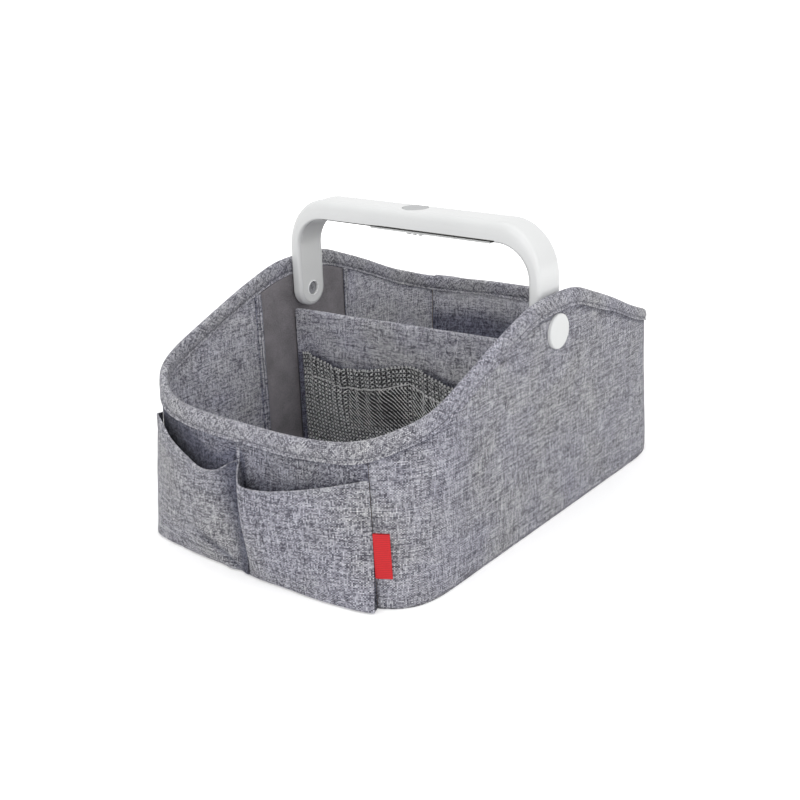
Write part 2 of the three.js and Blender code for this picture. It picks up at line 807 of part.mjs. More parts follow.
const pad_column = (radius) => rod_along_z(radius, 0, 0, bar_top - bar_thickness / 2, bar_top + overrun);
const under_pad = arch((t) => handle_section(t, touch_pad_thickness + gap), true);
const pad_seat = pad_column(touch_pad_radius + gap).subtract(under_pad);
const under_pad_face = arch((t) => handle_section(t, touch_pad_thickness), true);
const touch_pad = pad_column(touch_pad_radius).intersect(arch_outer).subtract(under_pad_face);

// Pivot holes through a leg: the stem's, and on the inner face the screw head's recess
function leg_holes(side) {
  const inner = side * handle_inner_half_width;
  const past_outer = side * (leg_outer_half_width + overrun);
  const past_inner = side * (handle_inner_half_width - overrun);
  const recess_end = side * (handle_inner_half_width + recess_depth);
  const through = rod_along_x(stem_hole_radius, inner, past_outer, 0, pivot_height);
  return through.add(rod_along_x(recess_radius, past_inner, recess_end, 0, pivot_height));
}

const both_leg_holes = leg_holes(-1).add(leg_holes(1));

// Battery bay: a plain-walled pocket in the bar for two cells, their contacts and the door
const door_plate = (clearance, low, high) => {
  const outline = new THREE.Shape();
  const left = door_start - clearance;
  const right = door_end + clearance;
  const half = door_half_depth + clearance;
  const round = door_corner_radius + clearance;
  outline.moveTo(left + round, -half);
  outline.lineTo(right - round, -half);
  outline.absarc(right - round, round - half, round, -Math.PI / 2, 0, false);
  outline.absarc(right - round, half - round, round, 0, Math.PI / 2, false);
  outline.absarc(left + round, half - round, round, Math.PI / 2, Math.PI, false);
  outline.absarc(left + round, round - half, round, Math.PI, 3 * Math.PI / 2, false);
  const plate = new THREE.ExtrudeGeometry(outline, {
    depth: high - low,
    bevelEnabled: false,
    curveSegments: binding_arc_steps,
  });
  plate.translate(0, 0, low);
  return solid(plate);
};
const lens_box = (clearance, low, high) => solid(box_between(
  new THREE.Vector3(lens_start - clearance, -lens_half_depth - clearance, low),
  new THREE.Vector3(lens_end + clearance, lens_half_depth + clearance, high),
));
const below_bar = handle_underside - overrun;
const above_cover = handle_underside + cover_thickness + gap + overrun;

const handle_shell = arch_outer
  .subtract(arch_cavity)
  .subtract(cover_seat)
  .subtract(pad_seat)
  .subtract(both_leg_holes);
add('handle_shell', handle_shell, 'plastic');

const handle_cover = arch(() => flat_section(cover_half_depth, 0, cover_thickness), true)
  .subtract(both_leg_holes)
  .subtract(door_plate(gap, below_bar, above_cover))
  .subtract(lens_box(gap, below_bar, above_cover));
add('handle_cover', handle_cover, 'plastic');
add('touch_pad', touch_pad, 'pad');
add('light_lens', lens_box(0, handle_underside, handle_underside + cover_thickness), 'lens');

// The door is proud of the cover, with a row of ribs for a fingertip
const door_low = handle_underside - door_proud;
let battery_door = door_plate(0, door_low, handle_underside + cover_thickness);
for (let i = 0; i < grip_rib_count; i += 1) {
  const x = i * grip_rib_pitch;
  battery_door = battery_door.add(solid(box_between(
    new THREE.Vector3(x, -door_half_depth, door_low - grip_rib_height),
    new THREE.Vector3(x + grip_rib_width, grip_rib_length - door_half_depth, door_low + door_proud / 2),
  )));
}
add('battery_door', battery_door, 'plastic');

// Light: a small board with its emitters behind the lens
const led_board_low = handle_underside + led_board_rise;
add('led_board', box_between(
  new THREE.Vector3(lens_start, gap - cavity_half_depth, led_board_low),
  new THREE.Vector3(lens_end, cavity_half_depth - gap, led_board_low + led_board_thickness),
), 'circuit');
for (let i = 0; i < led_count; i += 1) {
  const x = THREE.MathUtils.lerp(lens_start, lens_end, (i + 1) / (led_count + 1));
  const dome = rod_along_z(led_radius, x, 0, led_board_low - gap - led_height, led_board_low - gap);
  add(`led_${i + 1}`, dome, 'emitter');
}

// Cells in line along the bar, each with its nipple, between two contact plates
const cell_axis = handle_underside + cover_thickness + gap + cell_radius;
for (let i = 0; i < 2; i += 1) {
  const start = cells_start + i * cell_pitch;
  const end = start + cell_length;
  const can = rod_along_x(cell_radius, start, end, 0, cell_axis);
  const nipple = rod_along_x(cell_nipple_radius, end - overrun, end + cell_nipple_length, 0, cell_axis);
  add(`battery_cell_${i + 1}`, can.add(nipple), 'cell');
}
const contact_low = handle_underside + cover_thickness + 2 * gap;
const contact_high = bar_top - handle_wall - gap;
const contact_half = handle_half_depth - bar_thickness * outer_round_share;
for (const [name, x] of Object.entries(contact_starts)) {
  add(`contact_plate_${name}`, box_between(
    new THREE.Vector3(x, -contact_half, contact_low),
    new THREE.Vector3(x + contact_thickness, contact_half, contact_high),
  ), 'steel');
}

// Pivots
function turned_on_x(profile, side, x) {
  const lathe = new THREE.LatheGeometry(profile.map(([r, h]) => new THREE.Vector2(r, h)), round_steps);
  lathe.rotateZ(-side * Math.PI / 2);
  lathe.translate(side * x, 0, pivot_height);
  return lathe;
}

const cap_back = gap;
const stem_end = handle_inner_half_width + recess_depth - body_half_width;
const head_seat = stem_end - gap;
const cap_profile = [
  [0, cap_back + cap_thickness],
  [cap_radius / 2, cap_back + cap_thickness - cap_crown / 4],
  [cap_radius - cap_crown, cap_back + cap_thickness - cap_crown],
  [cap_radius, cap_back + cap_thickness - 2 * cap_crown],
  [cap_radius, cap_back],
  [stem_radius, cap_back],
  [stem_radius, stem_end],
  [stem_bore_radius, stem_end],
  [stem_bore_radius, cap_back],
  [0, cap_back],
].reverse();
const washer_inner = leg_outer_half_width + gap - body_half_width;
const washer_outer = -inner_face_inset - gap;
const washer_profile = [
  [stem_hole_radius, washer_inner],
  [washer_radius, washer_inner],
  [washer_radius, washer_outer],
  [stem_hole_radius, washer_outer],
  [stem_hole_radius, washer_inner],
];
const screw_profile = [
  [0, head_seat - screw_head_thickness],
  [screw_head_radius, head_seat - screw_head_thickness],
  [screw_head_radius, head_seat],
  [screw_shank_radius, head_seat],
  [screw_shank_radius, -gap],
  [0, -gap],
];

for (const [name, side] of [['left', -1], ['right', 1]]) {
  add(`pivot_cap_${name}`, turned_on_x(cap_profile, side, body_half_width), 'plastic');
  add(`pivot_washer_${name}`, turned_on_x(washer_profile, side, body_half_width), 'plastic');
  const screw = solid(turned_on_x(screw_profile, side, body_half_width));
  const head_face = side * (body_half_width + head_seat - screw_head_thickness);
  const slot_floor = head_face + side * screw_head_thickness / 2;
  const past_head = head_face - side * overrun;
  const bar = (half_y, half_z) => solid(box_between(
    new THREE.Vector3(Math.min(slot_floor, past_head), -half_y, pivot_height - half_z),
    new THREE.Vector3(Math.max(slot_floor, past_head), half_y, pivot_height + half_z),
  ));
  const slot_half = screw_slot_width / 2;
  const slot_reach = screw_head_radius / 2;
  const cross = bar(slot_half, slot_reach).add(bar(slot_reach, slot_half));
  add(`pivot_screw_${name}`, screw.subtract(cross), 'steel');
}

export default caddy;
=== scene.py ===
"""Looks of a fabric caddy with a lit carrying handle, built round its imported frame. Lengths are in
millimetres until a mesh is made. The pockets face -Y and the handle stands across X."""
import json
import math

import bmesh
import bpy
import numpy as np
from mathutils import Matrix, Vector

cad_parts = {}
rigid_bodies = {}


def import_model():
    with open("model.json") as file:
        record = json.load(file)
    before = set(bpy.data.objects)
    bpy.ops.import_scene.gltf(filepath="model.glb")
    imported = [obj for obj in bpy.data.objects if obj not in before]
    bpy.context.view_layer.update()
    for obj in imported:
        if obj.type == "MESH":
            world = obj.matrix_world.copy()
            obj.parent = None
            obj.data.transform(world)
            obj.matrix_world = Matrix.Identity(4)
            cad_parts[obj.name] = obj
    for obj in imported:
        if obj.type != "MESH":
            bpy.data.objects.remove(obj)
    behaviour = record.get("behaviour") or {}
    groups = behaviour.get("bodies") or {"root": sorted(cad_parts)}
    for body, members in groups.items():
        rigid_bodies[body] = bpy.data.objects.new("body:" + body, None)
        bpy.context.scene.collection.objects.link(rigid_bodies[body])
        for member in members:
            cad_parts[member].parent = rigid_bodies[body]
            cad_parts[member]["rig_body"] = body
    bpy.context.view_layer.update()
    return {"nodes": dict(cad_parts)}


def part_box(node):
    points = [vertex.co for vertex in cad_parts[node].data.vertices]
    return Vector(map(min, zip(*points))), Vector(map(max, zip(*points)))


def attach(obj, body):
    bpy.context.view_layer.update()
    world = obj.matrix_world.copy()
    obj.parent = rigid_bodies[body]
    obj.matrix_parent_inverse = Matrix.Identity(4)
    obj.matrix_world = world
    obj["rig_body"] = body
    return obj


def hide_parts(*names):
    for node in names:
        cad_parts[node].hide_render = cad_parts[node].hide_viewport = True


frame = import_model()

MM = 0.001
GAP = 0.3

# ---- Body, as the solids have it
HALF_WIDTH, HALF_LENGTH = 114.0, 176.0
FRONT_END, BACK_END = 65.0, 73.0
FRONT_END_Y, BACK_END_Y = FRONT_END - HALF_LENGTH, HALF_LENGTH - BACK_END
BASE_POWER, RIM_FRONT_RIGHT, RIM_FRONT_LEFT, RIM_BACK = 3.8, 2.65, 3.1, 2.9
FRONT_RIM, PEAK_RIM, BACK_RIM = 102.5, 161.0, 109.0
FRONT_RISE = ((0, 0.15, 0.3, 0.5, 0.7, 0.85, 1), (0, 0.21, 0.39, 0.63, 0.85, 0.975, 1))
BACK_FALL = ((0, 0.15, 0.3, 0.45, 0.7, 1), (0, 0.03, 0.2, 0.4, 0.75, 1))
OUTER_CLOTH, LINING_INSET, INNER_FACE = 0.8, 2.9, 3.5
LINING_BOTTOM, FLOOR_TOP = 3.0, 3.6
RIM_DROP = INNER_FACE / 2 + 1.1
FRONT_SEAM, POCKET_END_LEFT, BACK_SEAM = 0.47, 0.55, 0.58
SEAM_STEP = GAP / (HALF_WIDTH + FRONT_END)
POCKET_SEAM = math.atan(-6 / HALF_WIDTH) / (math.pi / 2)
BAND_FRONT, BAND_BACK = -48.0, 47.0
RUNS = {
    "front": (-FRONT_SEAM, FRONT_SEAM),
    "right": (FRONT_SEAM, 3 - BACK_SEAM),
    "back": (3 - BACK_SEAM, 3 + BACK_SEAM),
    "left": (3 + BACK_SEAM, 6 - FRONT_SEAM),
}

# ---- Handle and pivots
PIVOT_Z, HANDLE_HALF_DEPTH, HANDLE_INNER, BAR_UNDER = 136.0, 13.6, 99.7, 193.0
BEND_RADIUS, BEND_STEPS, LEG_THICK, BAR_THICK = 23.8, 30, 9.0, 14.0
BAR_TOP, HANDLE_REACH = BAR_UNDER + BAR_THICK, HANDLE_INNER + LEG_THICK

# ---- Divider
DIVIDER_Y, DIVIDER_TURN, DIVIDER_TOP, DIVIDER_HALF = -1.5, math.radians(5), 121.4, 1.9


def srgb(r, g, b):
    """A colour as it looks, from 0 to 255, as the linear colour that a shader takes."""
    linear = [((c / 255 + 0.055) / 1.055) ** 2.4 if c > 10 else c / 255 / 12.92 for c in (r, g, b)]
    return (*linear, 1.0)


# ---- shapes of the body
def through(table, at):
    """A smooth curve through a table's values, flat at both ends."""
    stations, values = (np.asarray(t, float) for t in table)
    slopes = np.zeros(len(stations))
    slopes[1:-1] = (values[2:] - values[:-2]) / (stations[2:] - stations[:-2])
    at = np.clip(np.asarray(at, float), stations[0], stations[-1])
    i = np.clip(np.searchsorted(stations, at, side="right") - 1, 0, len(stations) - 2)
    run = stations[i + 1] - stations[i]
    t = (at - stations[i]) / run
    rise = values[i + 1] - values[i]
    a, b = slopes[i] * run, slopes[i + 1] * run
    return values[i] + a * t + (3 * rise - 2 * a - b) * t**2 + (a + b - 2 * rise) * t**3


def outline(place, at_rim):
    """Points and outward normals of the outline; places count in quarters from the middle of the front."""
    place = np.mod(np.asarray(place, float), 6)
    left = place > 3
    q = np.where(left, 6 - place, place)
    angle = np.where(q < 1, q, np.where(q > 2, 3 - q, 1)) * math.pi / 2
    front_power = np.where(left, RIM_FRONT_LEFT, RIM_FRONT_RIGHT) if at_rim else BASE_POWER
    power = np.where(q < 1.5, front_power, RIM_BACK if at_rim else BASE_POWER)
    length = np.where(q < 1.5, FRONT_END, BACK_END)
    across, along = np.sin(angle), np.maximum(np.cos(angle), 0)
    reach = (across**power + along**power) ** (-1 / power)
    nx = (reach * across) ** (power - 1) / HALF_WIDTH
    ny = (reach * along) ** (power - 1) / length
    size = np.hypot(nx, ny)
    nx, ny = nx / size, ny / size
    straight = FRONT_END_Y + (BACK_END_Y - FRONT_END_Y) * (q - 1)
    end = length * reach * along
    y = np.where(q < 1, FRONT_END_Y - end, np.where(q > 2, BACK_END_Y + end, straight))
    side = np.where(left, -1, 1)
    return side * HALF_WIDTH * reach * across, y, side * nx, np.where(q < 1, -ny, ny)


def rim_height(place):
    y = outline(place, True)[1]
    front = FRONT_RIM + (PEAK_RIM - FRONT_RIM) * through(FRONT_RISE, 1 + y / HALF_LENGTH)
    back = PEAK_RIM - (PEAK_RIM - BACK_RIM) * through(BACK_FALL, y / HALF_LENGTH)
    return np.where(y < 0, front, back)


def wall_point(place, z, inset):
    """Points of the wall at a height, moved inward by inset."""
    bx, by, bnx, bny = outline(place, False)
    rx, ry, rnx, rny = outline(place, True)
    share = z / rim_height(place)
    nx, ny = bnx + (rnx - bnx) * share, bny + (rny - bny) * share
    size = np.hypot(nx, ny)
    x = bx + (rx - bx) * share - nx / size * inset
    y = by + (ry - by) * share - ny / size * inset
    return np.stack(np.broadcast_arrays(x, y, z), -1)


def ways(points):
    """The way along a line of points to each of them."""
    return np.concatenate([[0], np.cumsum(np.linalg.norm(np.diff(points, axis=0), axis=1))])


PLACES = np.linspace(-6, 12, 9001)
PLACE_WAYS = ways(wall_point(PLACES, 60.0, 0.0))


def arc(place):
    """The way round the wall to a place, in mm."""
    return np.interp(place, PLACES, PLACE_WAYS)


def place_of(length):
    return np.interp(length, PLACE_WAYS, PLACES)


def places_by_length(start, end, step):
    """Places from one to another, about step mm apart."""
    a, b = arc(start), arc(end)
    return place_of(np.linspace(a, b, max(2, int(abs(b - a) / step) + 1)))


def ripple(u, v, size, seed):
    """A smooth unevenness from -1 to 1, with bumps about size mm apart."""
    rng = np.random.RandomState(seed)
    total = 0
    for _ in range(7):
        turn, phase, scale = rng.uniform(0, 2 * math.pi), rng.uniform(0, 2 * math.pi), rng.uniform(0.7, 1.6)
        way = (u * math.cos(turn) + v * math.sin(turn)) * 2 * math.pi
        total = total + np.sin(way / (size * scale) + phase)
    return total / 4.5


def bump_at(x, width):
    """1 at zero, falling smoothly to 0 within about twice the width."""
    return np.exp(-((x / width) ** 2))


def smooth(x):
    x = np.clip(x, 0, 1)
    return x * x * (3 - 2 * x)


# ---- meshes
def linked(name, data):
    obj = bpy.data.objects.new(name, data)
    bpy.context.scene.collection.objects.link(obj)
    return obj


def reworked(mesh, *steps):
    """Runs bmesh steps on a mesh."""
    bm = bmesh.new()
    bm.from_mesh(mesh)
    for step in steps:
        step(bm)
    bmesh.ops.recalc_face_normals(bm, faces=bm.faces)
    bm.to_mesh(mesh)
    bm.free()


def new_object(name, points, faces, cloth=None, sharp=38, flip=True):
    """A smooth-shaded object from points in mm; cloth gives each point's place on the flat cloth."""
    mesh = bpy.data.meshes.new(name)
    mesh.from_pydata((np.asarray(points) * MM).tolist(), [], [list(map(int, f)) for f in faces])
    if cloth is not None:
        held = mesh.attributes.new("cloth", "FLOAT_VECTOR", "POINT")
        held.data.foreach_set("vector", np.asarray(cloth, np.float32).ravel())
    if flip:
        reworked(mesh)
    mesh.shade_smooth()
    mesh.set_sharp_from_angle(angle=math.radians(sharp))
    return linked(name, mesh)


def grid_faces(rows, columns, start=0, wrap=False):
    r, c = np.meshgrid(np.arange(rows - 1), np.arange(columns if wrap else columns - 1), indexing="ij")
    here, there = r * columns + c, r * columns + (c + 1) % columns
    return (start + np.stack([here, there, there + columns, here + columns], -1)).reshape(-1, 4)


def slab(name, front, back, cloth, sharp=38):
    """A thin closed solid between two grids of points."""
    rows, columns = front.shape[:2]
    count = rows * columns
    rim = np.concatenate([
        np.arange(columns), np.arange(1, rows) * columns + columns - 1,
        (rows - 1) * columns + np.arange(columns - 2, -1, -1), np.arange(rows - 2, 0, -1) * columns,
    ])
    after = np.roll(rim, -1)
    faces = [grid_faces(rows, columns), grid_faces(rows, columns, count)[:, ::-1],
             np.stack([rim, rim + count, after + count, after], -1)]
    points = np.concatenate([front.reshape(-1, 3), back.reshape(-1, 3)])
    return new_object(name, points, np.concatenate(faces), np.concatenate([cloth.reshape(-1, 3)] * 2), sharp)


def tube_faces(count, size):
    """The faces of a closed solid through a number of rings, with flat ends."""
    ends = [list(range(size))[::-1], [(count - 1) * size + i for i in range(size)]]
    return grid_faces(count, size, wrap=True).tolist() + ends


def loft(name, rings, cloth=None, sharp=38):
    rings = np.asarray(rings, float)
    return new_object(name, rings.reshape(-1, 3), tube_faces(*rings.shape[:2]), cloth, sharp)


def shaded(obj, *grids):
    """Stores painted light at each point: 1 is full painted shade, 0 none, below 0 painted light; on the nets
    it holds their painted glints.
    """
    held = obj.data.attributes.new("painted_light", "FLOAT", "POINT")
    held.data.foreach_set("value", np.concatenate([np.ravel(g) for g in grids]).astype(np.float32))
    return obj


def applied(obj):
    """The object with its modifiers made part of its mesh."""
    mesh = bpy.data.meshes.new_from_object(obj.evaluated_get(bpy.context.evaluated_depsgraph_get()))
    old = obj.data
    obj.modifiers.clear()
    obj.data = mesh
    bpy.data.meshes.remove(old)
    return obj


def cut(obj, tool, operation="DIFFERENCE"):
    """Cuts, joins or keeps what two solids share, and removes the tool."""
    change = obj.modifiers.new("cut", "BOOLEAN")
    change.operation, change.solver, change.object = operation, "EXACT", tool
    change.material_mode = "TRANSFER"
    applied(obj)
    bpy.data.objects.remove(tool)


def finished_edges(obj, width, angle=32):
    """Rounds the sharp edges of a hard piece and keeps its flats flat."""
    bevel = obj.modifiers.new("edges", "BEVEL")
    bevel.width, bevel.segments, bevel.limit_method = width * MM, 2, "ANGLE"
    bevel.angle_limit = math.radians(angle)
    applied(obj)
    obj.data.shade_smooth()
    obj.data.set_sharp_from_angle(angle=math.radians(48))
    obj.modifiers.new("flats", "WEIGHTED_NORMAL").keep_sharp = True


def refined(node, name, width, added=()):
    """A copy of a hard node with welded points, merged flats and rounded edges, in place of the node."""
    source = frame["nodes"][node]
    mesh = source.data.copy()
    mesh.name = name
    reworked(
        mesh,
        lambda bm: bmesh.ops.remove_doubles(bm, verts=bm.verts, dist=0.005 * MM),
        lambda bm: bmesh.ops.dissolve_limit(
            bm, angle_limit=math.radians(0.6), verts=bm.verts, edges=bm.edges),
    )
    if "custom_normal" in mesh.attributes:
        mesh.attributes.remove(mesh.attributes["custom_normal"])
    mesh.materials.clear()
    obj = linked(name, mesh)
    for tool in added:
        cut(obj, tool, "UNION")
    finished_edges(obj, width)
    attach(obj, source["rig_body"])
    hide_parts(node)
    return obj


# ---- materials
class Tree:
    """Short ways to build the nodes of a new material, or of a world."""

    def __init__(self, name=None, world=None):
        self.owner = world or bpy.data.materials.new(name)
        self.owner.use_nodes = True
        self.nodes, self.links = self.owner.node_tree.nodes, self.owner.node_tree.links
        self.shader = self.nodes.get("Principled BSDF")

    def put(self, node, key, value):
        if isinstance(value, bpy.types.NodeSocket):
            self.links.new(value, node.inputs[key])
        else:
            node.inputs[key].default_value = value

    def node(self, kind, settings=None, *values, **named):
        """A node with its settings, its first inputs in order and others by name."""
        made = self.nodes.new("ShaderNode" + kind)
        for key, value in (settings or {}).items():
            setattr(made, key, value)
        for key, value in [*enumerate(values), *named.items()]:
            self.put(made, key.replace("_", " ") if isinstance(key, str) else key, value)
        return made

    def math(self, operation, *values):
        return self.node("Math", {"operation": operation}, *values).outputs[0]

    def times(self, a, b):
        return self.math("MULTIPLY", a, b)

    def line(self, value, slope, base):
        return self.math("MULTIPLY_ADD", value, slope, base)

    def hills(self, value, rate):
        """Rounded hills along a value."""
        return self.math("ABSOLUTE", self.math("SINE", self.times(value, rate)))

    def mix(self, factor, a, b, blend="MIX"):
        made = self.node("Mix", {"data_type": "RGBA", "blend_type": blend}, factor)
        self.put(made, 6, a)
        self.put(made, 7, b)
        return made.outputs[2]

    def ramp(self, value, *stops):
        made = self.node("ValToRGB", None, value)
        ramp = made.color_ramp
        while len(ramp.elements) < len(stops):
            ramp.elements.new(0.5)
        for element, (place, colour) in zip(ramp.elements, stops):
            element.position, element.color = place, colour
        return made.outputs[0]

    def noise(self, vector, scale, detail=2.0, rough=0.5):
        return self.node("TexNoise", None, vector, Scale=scale, Detail=detail, Roughness=rough).outputs["Fac"]

    def vector(self, x, y, z):
        return self.node("CombineXYZ", None, x, y, z).outputs[0]

    def parts(self, vector):
        return self.node("SeparateXYZ", None, vector).outputs

    def position(self):
        return self.node("NewGeometry").outputs["Position"]

    def attribute(self, name, output):
        return self.node("Attribute", {"attribute_name": name}).outputs[output]

    def seen(self):
        """1 for what is looked at directly, in a reflection or through glass, and 0 for light that falls."""
        rays = self.node("LightPath").outputs
        reflected = self.math("MAXIMUM", rays["Is Glossy Ray"], rays["Is Transmission Ray"])
        return self.math("MAXIMUM", rays["Is Camera Ray"], reflected)

    def bump(self, height, distance, strength=1.0):
        return self.node("Bump", None, Height=height, Distance=distance, Strength=strength).outputs[0]

    def finish(self, colour, rough, normal=None, **others):
        for key, value in {"Base Color": colour, "Roughness": rough, "Normal": normal, **others}.items():
            if value is not None:
                self.put(self.shader, key.replace("_", " "), value)
        return self.owner


THREAD_TONES = ((20, 20, 26), (83, 82, 89), (163, 163, 167), (244, 244, 245))
CLOUD_COOL, CLOUD_WARM = srgb(246, 246, 254), srgb(252, 252, 250)
# Tints for painted shade and painted light on the cloth.
PAINTED_SHADE_TINT, PAINTED_LIGHT_TINT = srgb(158, 160, 174), srgb(206, 206, 212)


def melange(name, shade, turn=0.0, pitch=(0.92, 0.8), slub=0.9, grain=0.34, weave=0.09):
    """Plain-weave cloth of light and dark blue-grey threads. Each changes along its length by slub, and at
    each crossing by grain; weave sets the threads that run up apart from those across."""
    t = Tree(name)
    cloth = t.attribute("cloth", "Vector")
    turned = t.node("VectorRotate", {"rotation_type": "Z_AXIS"}, Vector=cloth, Angle=turn).outputs[0]
    x, y, z = t.parts(t.node("VectorMath", {"operation": "DIVIDE"}, turned, (*pitch, 1.0)).outputs[0])
    column, row = t.math("FLOOR", x), t.math("FLOOR", y)
    warp = t.noise(t.vector(t.times(column, 5.37), t.times(y, 0.08), z), 1.0, 1.0)
    weft = t.noise(t.vector(t.times(x, 0.07), t.times(row, 7.13), z), 1.0, 1.0)
    cell = t.node("TexWhiteNoise", {"noise_dimensions": "3D"}, t.vector(column, row, z)).outputs["Value"]
    over = t.math("ABSOLUTE", t.math("MODULO", t.math("ADD", column, row), 2.0))
    each = t.line(cell, grain, -grain / 2)
    crossing = t.node("Mix", None, t.line(over, 0.5, 0.25))
    t.put(crossing, 2, t.math("ADD", t.line(warp, slub, 0.5 - weave - slub / 2), each))
    t.put(crossing, 3, t.math("ADD", t.line(weft, slub, 0.5 + weave - slub / 2), each))
    tone = crossing.outputs[0]
    tones = [srgb(*(min(255, c * shade) for c in rgb)) for rgb in THREAD_TONES]
    colour = t.ramp(tone, *zip((0.06, 0.36, 0.64, 0.94), tones))
    crown = t.times(t.hills(x, math.pi), t.hills(y, math.pi))
    # The colour is painted darker towards each thread's edges: painted shade in the gaps between the threads.
    colour = t.mix(1.0, colour, t.line(crown, 0.6, 0.49), "MULTIPLY")
    broad = t.node("VectorMath", {"operation": "SCALE"}, Vector=cloth, Scale=0.018).outputs[0]
    cloud = t.ramp(t.noise(broad, 1.0, 3.0, 0.55), (0.35, CLOUD_COOL), (0.65, CLOUD_WARM))
    colour = t.mix(1.0, colour, cloud, "MULTIPLY")
    # Painted shade and light: where a point's mark is above 0 the cloth is darkened towards the blue-grey
    # painted shade tint, and where it is below 0 it is lightened towards the pale painted light tint.
    painted_light = t.attribute("painted_light", "Fac")
    colour = t.mix(painted_light, colour, t.mix(1.0, colour, PAINTED_SHADE_TINT, "MULTIPLY"))
    colour = t.mix(t.times(painted_light, -1.0), colour, t.mix(0.5, colour, PAINTED_LIGHT_TINT))
    normal = t.bump(t.math("ADD", crown, t.times(tone, 0.8)), 0.00015, 0.6)
    return t.finish(colour, t.line(warp, 0.16, 0.8), normal,
                    Sheen_Weight=0.1, Sheen_Roughness=0.5, Specular_IOR_Level=0.2)


def felt(name, low, high, scale=420.0, fuzz=0.00025):
    """Brushed loop cloth."""
    t = Tree(name)
    where = t.position()
    fine = t.noise(where, scale * 4, 3.0, 0.7)
    both = t.math("ADD", t.times(fine, 0.65), t.times(t.noise(where, scale * 0.1, 3.0), 0.35))
    return t.finish(t.ramp(both, (0.34, low), (0.66, high)), t.line(fine, 0.1, 0.88),
                    t.bump(fine, fuzz, 0.7), Sheen_Weight=0.25, Specular_IOR_Level=0.15)


def ribbon(name, low, high):
    """Ribbed ribbon, darker between its ribs."""
    t = Tree(name)
    cloth = t.attribute("cloth", "Vector")
    ribs = t.hills(t.parts(cloth)[1], 2.6)
    grain = t.noise(cloth, 1.6, 3.0, 0.6)
    both = t.math("ADD", t.times(ribs, 0.45), t.times(grain, 0.6))
    return t.finish(t.ramp(both, (0.1, low), (0.62, high)), t.line(grain, 0.2, 0.5),
                    t.bump(ribs, 0.0001, 0.6))


def thread(name, colour, dark):
    """Twisted sewing thread."""
    t = Tree(name)
    wave = {"wave_type": "BANDS", "bands_direction": "DIAGONAL"}
    twist = t.node("TexWave", wave, Vector=t.position(), Scale=900.0, Distortion=1.5).outputs["Fac"]
    return t.finish(t.ramp(twist, (0.2, dark), (0.8, colour)), t.line(twist, 0.15, 0.5),
                    t.bump(twist, 0.00006), Sheen_Weight=0.1)


def net_fibre(name, dark, light):
    """Knitted mesh of black filaments, painted near white where the mesh's own marks put painted glints and
    painted sheen.
    """
    t = Tree(name)
    glint = t.noise(t.position(), 900.0, 1.0, 0.6)
    shine = t.line(glint, 0.5, t.math("ADD", t.attribute("painted_light", "Fac"), -0.25))
    return t.finish(t.ramp(shine, (0.02, dark), (0.75, light)), t.line(glint, 0.2, 0.28),
                    t.bump(glint, 0.00008), Specular_IOR_Level=0.5)


def dimmed(colour, share):
    return (*(c * share for c in colour[:3]), 1.0)


def moulded(name, colour, rough=0.2, coat=0.0):
    """Moulded plastic with a faint flow of tone, a trace of texture and rubbed spots."""
    t = Tree(name)
    where = t.position()
    broad = t.noise(where, 22.0, 3.0)
    tone = t.ramp(broad, (0.3, dimmed(colour, 0.955)), (0.62, colour))
    return t.finish(tone, t.line(broad, 0.12, rough - 0.05),
                    t.bump(t.noise(where, 1400.0), 0.00001, 0.5), Coat_Weight=coat, Coat_Roughness=0.12)


def metal(name, colour):
    """Brushed metal."""
    t = Tree(name)
    brushed = t.noise(t.position(), 700.0, 3.0, 0.6)
    return t.finish(t.ramp(brushed, (0.3, dimmed(colour, 0.8)), (0.7, colour)),
                    t.line(brushed, 0.2, 0.22), t.bump(brushed, 0.00003), Metallic=1.0)


MELANGE = melange("melange_cloth", 1.245)
# The lining and the divider are the same cloth as the outside, made lighter: painted light inside the caddy.
MELANGE_LINING = melange("melange_lining", 1.45)
MELANGE_DIVIDER = melange("melange_divider", 1.375)
MELANGE_BIAS = melange("melange_bias_tape", 1.26, math.radians(45), (0.85, 0.85), 0.8, 0.32, 0.08)
LOOP = felt("loop_cloth", srgb(84, 81, 84), srgb(152, 148, 152))
HOOK = felt("hook_tape", srgb(48, 47, 50), srgb(78, 76, 80), 600.0)
BOARD = felt("pressed_board", srgb(166, 140, 104), srgb(190, 166, 130), 150.0, 0.0001)
TAB = ribbon("red_ribbon", srgb(126, 4, 12), srgb(200, 16, 27))
THREAD = thread("grey_thread", srgb(108, 110, 120), srgb(66, 68, 80))
# Its light end is the colour of the painted glints and painted sheen on the nets.
NET = net_fibre("net_fibre", srgb(14, 14, 16), srgb(238, 239, 238))
ELASTIC = thread("elastic_thread", srgb(226, 226, 224), srgb(130, 130, 132))
PLASTIC = moulded("white_plastic", srgb(216, 217, 217), 0.24, 0.15)
# Lighter than the shell's plastic: a painted highlight on the lip round each pivot recess.
PAINTED_HIGHLIGHT_LIP = moulded("recess_lip", srgb(240, 241, 241), 0.15, 0.3)
COVER = moulded("cover_plastic", srgb(224, 225, 224), 0.32)
# Near black: a painted shadow inside the handle's parting line.
PAINTED_SHADOW_GAP = moulded("painted_shadow_gap", srgb(64, 64, 58), 0.7)
PAD = moulded("grey_pad", srgb(170, 171, 172), 0.4)
LENS = moulded("milky_lens", srgb(245, 245, 238), 0.15, 0.5)
CIRCUIT = moulded("circuit_green", srgb(46, 104, 68), 0.4)
EMITTER = moulded("emitter_yellow", srgb(240, 228, 168), 0.25)
CELL = moulded("cell_sleeve", srgb(58, 60, 64), 0.35)
STEEL = metal("bright_steel", srgb(178, 180, 182))
SCREW = moulded("grey_screw", srgb(150, 151, 155), 0.3)


def dress(obj, material, body=None, node=None, slot=None):
    """Gives a piece its material and its body, and hides the node that it stands for; slot is not used."""
    obj.data.materials.clear()
    obj.data.materials.append(material)
    if body:
        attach(obj, body)
    if node:
        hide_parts(node)
    return obj


